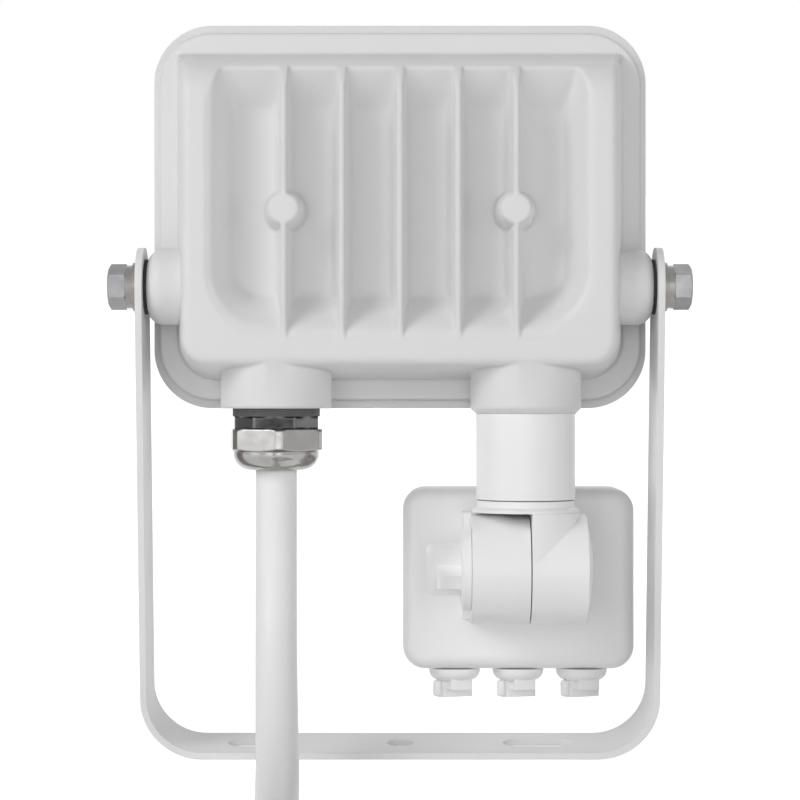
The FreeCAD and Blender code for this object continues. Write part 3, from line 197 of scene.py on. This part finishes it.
def plated(name, colour, roughness, soft_edge=0.00015, wear=0.1):
    """Plated or bright metal with fine handling marks."""
    material, tree, shader = new_material(name)
    shader.inputs["Metallic"].default_value = 1.0
    marks = object_noise(tree, 260.0, 4.0, 0.6)
    low = tuple(channel * (1 - wear * 2) for channel in colour)
    tone = ramp(tree, marks.outputs["Fac"], [(0.3, low), (0.65, colour)])
    tree.links.new(tone.outputs["Color"], shader.inputs["Base Color"])
    gloss = ramp(tree, marks.outputs["Fac"], [(0.3, roughness + wear), (0.7, roughness)])
    tree.links.new(gloss.outputs["Color"], shader.inputs["Roughness"])
    scratches = object_noise(tree, 1500.0, 3.0)
    bump(tree, shader, scratches.outputs["Fac"], 0.08, 0.0001, soft_edge)
    return material


def rubber(name, colour, roughness=0.7):
    material, tree, shader = new_material(name)
    dust = object_noise(tree, 400.0, 3.0)
    low = tuple(channel * 0.8 for channel in colour)
    tone = ramp(tree, dust.outputs["Fac"], [(0.35, low), (0.7, colour)])
    tree.links.new(tone.outputs["Color"], shader.inputs["Base Color"])
    shader.inputs["Roughness"].default_value = roughness
    skin = object_noise(tree, 3000.0, 2.0)
    bump(tree, shader, skin.outputs["Fac"], 0.1, 0.0001)
    return material


def tempered_glass(name):
    """Clear front glass with a faint green body."""
    material, tree, shader = new_material(name)
    tint = object_noise(tree, 20.0, 1.0)
    tone = ramp(tree, tint.outputs["Fac"], [(0.3, (0.95, 0.985, 0.975)), (0.7, (0.96, 0.99, 0.985))])
    tree.links.new(tone.outputs["Color"], shader.inputs["Base Color"])
    shader.inputs["Transmission Weight"].default_value = 1.0
    shader.inputs["Roughness"].default_value = 0.02
    shader.inputs["IOR"].default_value = 1.5
    return material


def milky_lens(name):
    """Thin white polyethylene: soft gloss with light passing into it."""
    material, tree, shader = new_material(name)
    cloud = object_noise(tree, 120.0, 2.0)
    tone = ramp(tree, cloud.outputs["Fac"], [(0.3, 0.80), (0.7, 0.84)])
    tree.links.new(tone.outputs["Color"], shader.inputs["Base Color"])
    shader.inputs["Roughness"].default_value = 0.38
    shader.inputs["Subsurface Weight"].default_value = 0.3
    shader.inputs["Subsurface Scale"].default_value = 0.002
    skin = object_noise(tree, 1500.0, 2.0)
    bump(tree, shader, skin.outputs["Fac"], 0.05, 0.0001)
    return material


def phosphor(name):
    """Yellow phosphor windows on the LED packages, with a faint speckle in their tone."""
    material, tree, shader = new_material(name)
    speck = object_noise(tree, 4000.0, 2.0)
    tone = ramp(tree, speck.outputs["Fac"], [(0.3, (0.78, 0.58, 0.10)), (0.7, (0.86, 0.68, 0.16))])
    tree.links.new(tone.outputs["Color"], shader.inputs["Base Color"])
    shader.inputs["Roughness"].default_value = 0.35
    return material


def core_insulation(name):
    """Brown, blue and green-yellow cores by where each lies, with bare copper past their ends."""
    material, tree, shader = new_material(name)
    place = add_node(tree, "ShaderNodeTexCoord")
    split = add_node(tree, "ShaderNodeSeparateXYZ")
    tree.links.new(place.outputs["Object"], split.inputs["Vector"])

    def beyond(output, limit):
        test = add_node(tree, "ShaderNodeMath", operation="GREATER_THAN")
        test.inputs[1].default_value = limit
        tree.links.new(output, test.inputs[0])
        return test.outputs["Value"]

    def mix(choice, first, second):
        made = add_node(tree, "ShaderNodeMix", data_type="RGBA")
        tree.links.new(choice, made.inputs["Factor"])
        for socket, colour in ((made.inputs["A"], first), (made.inputs["B"], second)):
            if isinstance(colour, tuple):
                socket.default_value = (*colour, 1.0)
            else:
                tree.links.new(colour, socket)
        return made.outputs["Result"]

    box_low, box_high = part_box("cord_cores")
    middle = (box_low[0] + box_high[0]) / 2
    strand_start = box_high[1] - 5.0 * MM
    stripe = add_node(tree, "ShaderNodeTexWave", bands_direction="DIAGONAL")
    stripe.inputs["Scale"].default_value = 60.0
    tree.links.new(place.outputs["Object"], stripe.inputs["Vector"])
    striped = mix(beyond(stripe.outputs["Fac"], 0.5), (0.02, 0.25, 0.04), (0.75, 0.6, 0.03))
    lower = mix(beyond(split.outputs["X"], middle), (0.02, 0.08, 0.4), striped)
    core_top = (box_low[2] + box_high[2]) / 2 + 0.35 * MM
    insulated = mix(beyond(split.outputs["Z"], core_top), lower, (0.16, 0.05, 0.02))
    colour = mix(beyond(split.outputs["Y"], strand_start), insulated, (0.75, 0.33, 0.16))
    tree.links.new(colour, shader.inputs["Base Color"])
    shader.inputs["Roughness"].default_value = 0.4
    return material


def stage_floor(name):
    """Pale floor that reads white to the camera and keeps the object's soft shadow."""
    material, tree, shader = new_material(name)
    shader.inputs["Base Color"].default_value = (0.86, 0.86, 0.86, 1.0)
    shader.inputs["Roughness"].default_value = 0.9
    rays = add_node(tree, "ShaderNodeLightPath")
    glow = add_node(tree, "ShaderNodeEmission")
    glow.inputs["Strength"].default_value = 0.85
    nothing = add_node(tree, "ShaderNodeEmission")
    nothing.inputs["Strength"].default_value = 0.0
    seen = add_node(tree, "ShaderNodeMath", operation="MAXIMUM")
    tree.links.new(rays.outputs["Is Camera Ray"], seen.inputs[0])
    tree.links.new(rays.outputs["Is Glossy Ray"], seen.inputs[1])
    choose = add_node(tree, "ShaderNodeMixShader")
    tree.links.new(seen.outputs["Value"], choose.inputs["Fac"])
    tree.links.new(nothing.outputs["Emission"], choose.inputs[1])
    tree.links.new(glow.outputs["Emission"], choose.inputs[2])
    total = add_node(tree, "ShaderNodeAddShader")
    tree.links.new(shader.outputs["BSDF"], total.inputs[0])
    tree.links.new(choose.outputs["Shader"], total.inputs[1])
    tree.links.new(total.outputs["Shader"], tree.nodes["Material Output"].inputs["Surface"])
    return material


# Pieces

def finish_nodes(material, *names):
    """Give CAD nodes their material."""
    for name in names:
        piece = bpy.data.objects[name]
        piece.data.materials.clear()
        piece.data.materials.append(material)


def piece_from(name, shape, body, material, smooth=True):
    """Turn a finished bmesh into a piece that rides on a body."""
    mesh = bpy.data.meshes.new(name)
    shape.to_mesh(mesh)
    shape.free()
    piece = bpy.data.objects.new(name, mesh)
    bpy.context.collection.objects.link(piece)
    mesh.materials.append(material)
    for face in mesh.polygons:
        face.use_smooth = smooth
    if body:
        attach(piece, body)
    return piece


def eased(value, start, end):
    """0 before start, 1 after end, and a smooth change between them."""
    share = min(max((value - start) / (end - start), 0.0), 1.0)
    return share * share * (3 - 2 * share)


def smooth_low(first, second, reach):
    """The lower of two values, with a rounded join where they are near each other."""
    near = max(reach - abs(first - second), 0.0) / reach
    return min(first, second) - near * near * reach / 4


def soft_ramp(share, ease):
    """A ramp from 0 to 1 with both ends rounded. Below 0 it runs on downwards."""
    if share < ease:
        return share if share < -ease else share + (ease - share) ** 2 / (4 * ease) * (share > -ease)
    if share < 1 - ease:
        return share
    if share < 1 + ease:
        return 1 - (1 + ease - share) ** 2 / (4 * ease)
    return 1.0


def block_back(up):
    """How far back the housing's block reaches at a height: flat, a round shoulder, then a slope."""
    if up < SLOPE_START:
        return BLOCK_BACK
    if up <= CREASE_HIGH:
        return BLOCK_BACK + SLOPE_ROUND - math.sqrt(SLOPE_ROUND**2 - (up - SLOPE_START) ** 2)
    crease = BLOCK_BACK + SLOPE_ROUND - math.sqrt(SLOPE_ROUND**2 - (CREASE_HIGH - SLOPE_START) ** 2)
    return crease + (up - CREASE_HIGH) * (FLANGE_BACK - crease) / (BLOCK_HIGH - CREASE_HIGH)


def recess_wall(across, up):
    """The depth that the recess's side walls, its round lower corners and its lower ramp allow."""
    side = abs(across)
    turn_across = RECESS_SIDE - RECESS_TURN
    turn_up = RECESS_LOW + RECESS_TURN
    if side > turn_across and up < turn_up:
        reach = math.hypot(side - turn_across, turn_up - up)
        downward = ((turn_up - up) / reach) ** 2
        inset = RECESS_TURN - reach
        width = SIDE_WALL + (LOW_RAMP - SIDE_WALL) * downward
    elif side > turn_across:
        inset, width, downward = RECESS_SIDE - side, SIDE_WALL, 0.0
    else:
        inset, width, downward = up - RECESS_LOW, LOW_RAMP, 1.0
    return RECESS_DEEP * soft_ramp(inset / width, 0.32 - 0.12 * downward)


def fin_wall(across):
    """The depth that the nearest fin allows: nothing at its rounded top, then a flared root."""
    number = min(max(round(across / FIN_PITCH), -2), 2)
    beside = abs(across - number * FIN_PITCH)
    height = 1.2 / (1 + (beside / FIN_HALF) ** 4) + 0.09 * math.exp(-beside / 2.4)
    return RECESS_DEEP * (1 - height)


def post_wall(across, up):
    """The depth that the two screw posts allow, with their draft."""
    reach = math.hypot(abs(across) - 2 * FIN_PITCH, up - POST_UP)
    return POST_LOWER + RECESS_DEEP * soft_ramp((reach - POST_RADIUS + 0.15) / 0.85, 0.3)


def recess_surface(across, up):
    """How far back the housing's surface lies inside the heat sink recess."""
    top = RECESS_DEEP * soft_ramp((TOP_RAMP_HIGH - up) / TOP_RAMP, 0.12)
    depth = smooth_low(recess_wall(across, up), top, 1.6)
    depth = smooth_low(depth, fin_wall(across), 1.1)
    depth = smooth_low(depth, post_wall(across, up), 0.5)
    return -smooth_low(-block_back(up), -(BLOCK_BACK + depth), 0.7)


def housing_skin(material):
    """The die-cast housing. Its recess is laid anew, with the soft ramps and rounded fins of a
    casting, and its bolt bosses get rounded ends."""
    to_lamp = Matrix.Rotation(LEAN, 4, "X") @ Matrix.Translation((0, 0, -BOLT_HEIGHT))
    shape = bmesh.new()
    shape.from_mesh(bpy.data.objects["rear_housing"].data)
    bmesh.ops.remove_doubles(shape, verts=shape.verts, dist=0.000002)
    shape.transform(to_lamp)
    shape.transform(Matrix.Scale(1 / MM, 4))
    straighten_top(shape)
    cuts = [((side * SKIN_SIDE, 0, 0), (1, 0, 0)) for side in (-1, 1)]
    cuts += [((0, 0, level), (0, 0, 1)) for level in (SKIN_LOW, SKIN_HIGH)]
    cuts += [((side * level, 0, 0), (1, 0, 0)) for side in (-1, 1) for level in (47.8, 48.6, 49.3)]
    for place, normal in cuts:
        everything = list(shape.verts) + list(shape.edges) + list(shape.faces)
        bmesh.ops.bisect_plane(shape, geom=everything, dist=0.0001, plane_co=place, plane_no=normal)
    old = []
    for face in shape.faces:
        middle = face.calc_center_median()
        inside = abs(middle.x) < SKIN_SIDE and SKIN_LOW < middle.z < SKIN_HIGH and middle.y < -0.5
        screw_hole = all(
            math.hypot(abs(vertex.co.x) - 2 * FIN_PITCH, vertex.co.z - POST_UP) < 2.0 for vertex in face.verts
        )
        if inside and not screw_hole:
            old.append(face)
    bmesh.ops.delete(shape, geom=old, context="FACES")
    round_pivot_bosses(shape)
    grid = bmesh.ops.create_grid(shape, x_segments=SKIN_COLUMNS, y_segments=SKIN_ROWS, size=1.0)
    half_up = (SKIN_HIGH - SKIN_LOW) / 2 - SKIN_GAP
    for vertex in grid["verts"]:
        across = vertex.co.x * (SKIN_SIDE - SKIN_GAP)
        up = (SKIN_HIGH + SKIN_LOW) / 2 + vertex.co.y * half_up
        vertex.co = (across, recess_surface(across, up), up)
    rims = [edge for edge in shape.edges if len(edge.link_faces) == 1]
    for axis, level in ((0, -SKIN_SIDE), (0, SKIN_SIDE), (2, SKIN_LOW), (2, SKIN_HIGH)):
        side = [
            edge for edge in rims if all(abs(vertex.co[axis] - level) < SKIN_GAP + 0.01 for vertex in edge.verts)
        ]
        bmesh.ops.bridge_loops(shape, edges=side)
    bmesh.ops.holes_fill(shape, edges=[edge for edge in shape.edges if edge.is_boundary], sides=0)
    bmesh.ops.recalc_face_normals(shape, faces=shape.faces)
    mark_edges(shape, 6.0)
    shape.transform(Matrix.Scale(MM, 4))
    shape.transform(to_lamp.inverted())
    housing = piece_from("rear_housing_skin", shape, "lamp", material)
    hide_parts("rear_housing")
    return housing


def mark_edges(shape, smallest):
    """Mark the edges that shade sharply: those over 32 degrees, and those round the large flat
    faces, so that the rounds beside a flat face don't shade into it."""
    level = {}
    for first in shape.faces:
        if first in level:
            continue
        group, todo = [first], [first]
        level[first] = group
        while todo:
            face = todo.pop()
            for edge in face.edges:
                for other in edge.link_faces:
                    if other not in level and other.normal.dot(first.normal) > 0.99998:
                        level[other] = group
                        group.append(other)
                        todo.append(other)
    flat = set()
    for group in {id(group): group for group in level.values()}.values():
        area = sum(face.calc_area() for face in group)
        if area < smallest:
            continue
        members = set(group)
        outline = sum(
            edge.calc_length() for face in group for edge in face.edges
            if any(other not in members for other in edge.link_faces)
        )
        if area > 0.6 * outline:
            flat.add(id(group))
    for edge in shape.edges:
        if len(edge.link_faces) != 2:
            continue
        first, second = edge.link_faces
        angle = edge.calc_face_angle(0.0)
        border = level[first] is not level[second] and (id(level[first]) in flat or id(level[second]) in flat)
        edge.smooth = not (angle > math.radians(32) or border and angle > math.radians(1.2))


def straighten_top(shape):
    """Lay the block's top on one slope, from its shoulder to the flange."""
    slope = (BLOCK_HIGH - CREASE_HIGH) / (FLANGE_BACK - block_back(CREASE_HIGH))
    far_crease = 2 * (BLOCK_BACK + SLOPE_ROUND) - block_back(CREASE_HIGH)
    for vertex in shape.verts:
        away = vertex.co.y
        if not block_back(CREASE_HIGH) < away < FLANGE_BACK - 0.01 or vertex.co.z < 43.2:
            continue
        if away < far_crease:
            now = SLOPE_START + math.sqrt(SLOPE_ROUND**2 - (away - BLOCK_BACK - SLOPE_ROUND) ** 2)
        else:
            now = CREASE_HIGH + (away - far_crease) * (BLOCK_HIGH - CREASE_HIGH) / (FLANGE_BACK - far_crease)
        if vertex.co.z > now - 1.9:
            vertex.co.z += CREASE_HIGH + (away - block_back(CREASE_HIGH)) * slope - now


def round_pivot_bosses(shape):
    """Pull in the outer ends of the two bolt bosses to a larger round."""
    start = 47.8
    reach = 3.4
    for vertex in shape.verts:
        around = math.hypot(vertex.co.y, vertex.co.z)
        share = min(max((abs(vertex.co.x) - start) / reach, 0.0), 1.0)
        if share > 0 and 6.0 < around < 7.9 and vertex.co.y < 7.3:
            pulled = 7.75 - 3.0 * (1 - math.sqrt(1 - share * share))
            shrink = 1 + (min(pulled / around, 1.0) - 1) * min((7.4 - vertex.co.y) / 1.5, 1.0)
            vertex.co.y *= shrink
            vertex.co.z *= shrink


def wing_screw(material):
    """The wing screw, turned so that its upper wing leans towards the camera."""
    shape = bmesh.new()
    shape.from_mesh(bpy.data.objects["wing_screw"].data)
    bmesh.ops.remove_doubles(shape, verts=shape.verts, dist=0.000002)
    bmesh.ops.recalc_face_normals(shape, faces=shape.faces)
    centre = lamp_point(0, LOWER_AXIS, KNUCKLE_UP)
    turn = Matrix.Rotation(WING_TURN, 3, "X")
    bmesh.ops.rotate(shape, cent=centre, matrix=turn, verts=shape.verts)
    shape.transform(Matrix.Scale(1 / MM, 4))
    mark_edges(shape, 3.0)
    shape.transform(Matrix.Scale(MM, 4))
    screw = piece_from("turned_wing_screw", shape, "wing_screw", material)
    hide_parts("wing_screw")


def knob_hook(number, knob, material):
    """The rounded upright end of a knob's grip bar."""
    shape = bmesh.new()
    made = bmesh.ops.create_cone(
        shape, cap_ends=True, cap_tris=False, segments=28, radius1=0.95 * MM, radius2=0.95 * MM, depth=3.4 * MM
    )
    rims = [edge for edge in shape.edges if abs(edge.verts[0].co.z - edge.verts[1].co.z) < 0.00001]
    bmesh.ops.bevel(
        shape, geom=rims, offset=0.55 * MM, segments=4, profile=0.5, affect="EDGES", material=-1
    )
    bmesh.ops.translate(shape, verts=shape.verts, vec=(0, 0, 0))
    place = lamp_point(*KNOB_HOOK) + Vector((number * KNOB_STEP * MM, 0, 0))
    bmesh.ops.rotate(shape, cent=(0, 0, 0), matrix=Matrix.Rotation(-LEAN, 3, "X"), verts=shape.verts)
    bmesh.ops.translate(shape, verts=shape.verts, vec=place)
    piece_from(f"{knob}_grip_end", shape, knob, material)


def cord_route():
    """The cord's control points: down from the gland, along the floor and round the coil."""
    points = [
        Vector((-25.1, -5.803, 61.545)) * MM,
        Vector((-25.1, -8.728, 37.724)) * MM,
        Vector((-24.5, -22.8, 17.7)) * MM,
        Vector((-22.9, -49.0, 4.2)) * MM,
        Vector((-22.7, -78.0, 4.2)) * MM,
        Vector((-31.6, -107.5, 4.2)) * MM,
    ]
    step = 360 / POINTS_A_TURN
    shrink = math.cos(math.pi / POINTS_A_TURN)
    turned = 180.0
    while turned < 1075.0:
        radius = TURN_OUTER + (TURN_INNER - TURN_OUTER) * eased(turned, 470, 560)
        radius += (TURN_UPPER - TURN_INNER) * eased(turned, 850, 920)
        lift = CORD_RADIUS + UPPER_LIFT * eased(turned, 850, 925)
        angle = math.radians(turned)
        away = Vector((math.cos(angle), math.sin(angle), 0)) * radius / shrink
        points.append(COIL_CENTRE + away + Vector((0, 0, lift)))
        turned += step
    over = COIL_CENTRE + Vector((TURN_UPPER + 0.6 * MM, 0, 0))
    points.append(over + Vector((0, 2.0 * MM, CORD_RADIUS + UPPER_LIFT)))
    points.append(over + Vector((0.6 * MM, 15.0 * MM, CORD_RADIUS + UPPER_LIFT * 0.95)))
    points.append(CORD_END + Vector((-0.2 * MM, -16.0 * MM, 0)))
    points.append(CORD_END)
    return points


def supply_cord(material):
    """The cord as a tube round a smooth line through its route."""
    route = cord_route()
    curve = bpy.data.curves.new("supply_cord_line", "CURVE")
    curve.dimensions = "3D"
    spline = curve.splines.new("NURBS")
    spline.points.add(len(route) - 1)
    for point, place in zip(spline.points, route):
        point.co = (*place, 1.0)
    spline.order_u = 3
    spline.use_endpoint_u = True
    spline.resolution_u = 8
    line = bpy.data.objects.new("supply_cord_line", curve)
    centre_mesh = bpy.data.meshes.new_from_object(line)
    curve.bevel_depth = CORD_RADIUS
    curve.bevel_resolution = 6
    curve.use_fill_caps = True
    mesh = bpy.data.meshes.new_from_object(line)
    bpy.data.objects.remove(line)
    bpy.data.meshes.remove(centre_mesh)
    cord = bpy.data.objects.new("supply_cord", mesh)
    bpy.context.collection.objects.link(cord)
    mesh.materials.clear()
    mesh.materials.append(material)
    for face in mesh.polygons:
        face.use_smooth = True
    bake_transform(cord)
    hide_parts("supply_cord_drop", "supply_cord_coil")
    return cord


# Light, floor and camera

def area_light(name, place, target, width, power, mirrored=True):
    """A square soft light. Not mirrored, it lights the object without showing in its metal."""
    light = bpy.data.lights.new(name, "AREA")
    light.shape = "SQUARE"
    light.size = width
    light.energy = power
    lamp = bpy.data.objects.new(name, light)
    lamp.visible_glossy = mirrored
    bpy.context.collection.objects.link(lamp)
    lamp.location = place
    lamp.rotation_euler = (Vector(target) - Vector(place)).to_track_quat("-Z", "Y").to_euler()


def stage(material):
    """A wide plain floor under the bracket."""
    shape = bmesh.new()
    bmesh.ops.create_grid(shape, x_segments=1, y_segments=1, size=3.0)
    mesh = bpy.data.meshes.new("stage_floor")
    shape.to_mesh(mesh)
    shape.free()
    floor = bpy.data.objects.new("stage_floor", mesh)
    bpy.context.collection.objects.link(floor)
    floor.location = (0, 0, -0.0002)
    mesh.materials.append(material)


def dark_card():
    """A small dark card behind the camera, which shows only in the metal that faces it."""
    shape = bmesh.new()
    bmesh.ops.create_grid(shape, x_segments=1, y_segments=1, size=0.5)
    bmesh.ops.rotate(shape, cent=(0, 0, 0), matrix=Matrix.Rotation(math.radians(90), 3, "X"), verts=shape.verts)
    bmesh.ops.scale(shape, vec=(0.08, 1, 0.34), verts=shape.verts)
    mesh = bpy.data.meshes.new("dark_card")
    shape.to_mesh(mesh)
    shape.free()
    card = bpy.data.objects.new("dark_card", mesh)
    bpy.context.collection.objects.link(card)
    card.location = (-0.063, -0.75, 0.165)
    material, tree, shader = new_material("card_black")
    shader.inputs["Base Color"].default_value = (0.02, 0.02, 0.02, 1.0)
    shader.inputs["Roughness"].default_value = 0.9
    mesh.materials.append(material)
    card.visible_camera = False
    card.visible_diffuse = False
    card.visible_shadow = False


def world_light():
    """An even pale sky. The camera and mirror-like surfaces see it as plain white."""
    world = bpy.data.worlds.new("studio")
    bpy.context.scene.world = world
    world.use_nodes = True
    tree = world.node_tree
    background = tree.nodes["Background"]
    background.inputs["Color"].default_value = (1.0, 0.99, 0.99, 1.0)
    background.inputs["Strength"].default_value = 0.18
    white = add_node(tree, "ShaderNodeBackground")
    white.inputs["Color"].default_value = (1.0, 1.0, 1.0, 1.0)
    white.inputs["Strength"].default_value = 1.0
    rays = add_node(tree, "ShaderNodeLightPath")
    seen = add_node(tree, "ShaderNodeMath", operation="MAXIMUM")
    tree.links.new(rays.outputs["Is Camera Ray"], seen.inputs[0])
    tree.links.new(rays.outputs["Is Glossy Ray"], seen.inputs[1])
    through = add_node(tree, "ShaderNodeMath", operation="MAXIMUM")
    tree.links.new(seen.outputs["Value"], through.inputs[0])
    tree.links.new(rays.outputs["Is Transmission Ray"], through.inputs[1])
    choose = add_node(tree, "ShaderNodeMixShader")
    tree.links.new(through.outputs["Value"], choose.inputs["Fac"])
    tree.links.new(background.outputs["Background"], choose.inputs[1])
    tree.links.new(white.outputs["Background"], choose.inputs[2])
    tree.links.new(choose.outputs["Shader"], tree.nodes["World Output"].inputs["Surface"])


def make_camera():
    """Square to the lamp's back, a little above it."""
    data = bpy.data.cameras.new("camera")
    data.lens = LENS
    data.sensor_width = 36.0
    data.clip_start = 0.01
    camera = bpy.data.objects.new("camera", data)
    bpy.context.collection.objects.link(camera)
    camera.location = lamp_point(0, -CAMERA_AWAY / MM, -CAMERA_DROP / MM)
    camera.rotation_euler = (math.radians(90) - LEAN, 0, 0)
    bpy.context.scene.camera = camera


make_camera()
bpy.context.scene.view_settings.view_transform = "Standard"

housing_paint = powder_coat("housing_powder_coat", (0.80, 0.795, 0.795), 0.46, 0.0012)
frame_paint = powder_coat("frame_powder_coat", (0.79, 0.785, 0.785), 0.44, 0.0003)
bracket_paint = powder_coat("bracket_powder_coat", (0.84, 0.835, 0.835), 0.44, 0.00025)
sensor_plastic = moulded("sensor_plastic", (0.95, 0.947, 0.947), 0.36)
knob_plastic = moulded("knob_plastic", (0.95, 0.947, 0.947), 0.36, 0.0002)
cord_sheath = moulded("cord_sheath", (0.93, 0.925, 0.925), 0.5, 0.0, 0.12)
bright_steel = plated("bright_steel", (0.25, 0.25, 0.255), 0.26)
zinc_plate = plated("zinc_plate", (0.26, 0.257, 0.253), 0.3)
nickel_plate = plated("nickel_plate", (0.34, 0.337, 0.33), 0.14, 0.0004)
# A darker copy of the nickel plating: the gland body's darkness is a painted reflection, standing in for the
# dark surroundings its facets mirror.
nickel_painted_dark = plated("nickel_painted_dark", (0.14, 0.14, 0.14), 0.1, 0.0009)
black_rubber = rubber("black_rubber", (0.025, 0.025, 0.027))
grey_rubber = rubber("grey_rubber", (0.12, 0.12, 0.125))
front_glass = tempered_glass("tempered_front_glass")
lens_plastic = milky_lens("milky_lens_plastic")
phosphor_yellow = phosphor("phosphor_yellow")
reflector_plastic = moulded("reflector_plastic", (0.88, 0.88, 0.88), 0.3, 0.0002, 0.03)
board_mask = moulded("white_board_mask", (0.82, 0.82, 0.79), 0.4, 0.0001, 0.04)
green_mask = moulded("green_board_mask", (0.03, 0.2, 0.08), 0.35, 0.0001, 0.05)
terminal_plastic = moulded("terminal_plastic", (0.72, 0.7, 0.6), 0.45)
dial_plastic = moulded("dial_plastic", (0.05, 0.13, 0.4), 0.4)
tie_plastic = moulded("tie_plastic", (0.02, 0.02, 0.02), 0.4)
core_colours = core_insulation("core_insulation")

housing_skin(housing_paint)
finish_nodes(frame_paint, "front_frame")
finish_nodes(bracket_paint, "mounting_bracket")
finish_nodes(sensor_plastic, "sensor_arm", "swivel_fork", "hinge_cap", "sensor_back_shell", "sensor_front_shell")
finish_nodes(knob_plastic, "range_knob", "light_level_knob", "time_knob")
wing_screw(knob_plastic)
for number, knob in enumerate(("range_knob", "light_level_knob", "time_knob")):
    knob_hook(number, knob, knob_plastic)
finish_nodes(bright_steel, "pivot_bolt_left", "pivot_bolt_right", "board_screws", "swivel_clip", "clamp_nut")
finish_nodes(zinc_plate, "flat_washer_left", "flat_washer_right", "lock_washer_left", "lock_washer_right")
finish_nodes(nickel_plate, "gland_nut", "motion_detector")
# the gland body gets the darker nickel copy, whose darkness is a painted reflection
finish_nodes(nickel_painted_dark, "gland_body")
finish_nodes(black_rubber, "rubber_washer_left", "rubber_washer_right", "glass_gasket", "gland_seal")
finish_nodes(grey_rubber, "gland_washer")
finish_nodes(front_glass, "front_glass")
finish_nodes(lens_plastic, "sensor_lens")
finish_nodes(phosphor_yellow, "led_chips")
finish_nodes(reflector_plastic, "reflector")
finish_nodes(board_mask, "led_board")
finish_nodes(green_mask, "sensor_board")
finish_nodes(terminal_plastic, "terminal_block")
finish_nodes(dial_plastic, "setting_dials")
finish_nodes(tie_plastic, "cord_tie")
finish_nodes(cord_sheath, "cord_in_gland")
finish_nodes(core_colours, "cord_cores")

supply_cord(cord_sheath)

world_light()
stage(stage_floor("stage_floor"))
dark_card()
area_light("key_light", (-0.85, -0.65, 0.85), (0, 0, 0.08), 0.6, 6.3)
area_light("left_low_light", (-1.15, -0.75, 0.22), (0, 0, 0.08), 0.6, 1.4)
area_light("camera_side_light", (-0.15, -1.35, 0.22), (0, 0, 0.08), 1.0, 5.2)
area_light("fill_light", (1.1, -0.75, 0.25), (0, 0, 0.08), 0.8, 4.3, mirrored=False)
area_light("front_light", (0.2, 1.2, 0.8), (0, 0, 0.08), 0.9, 1.6)
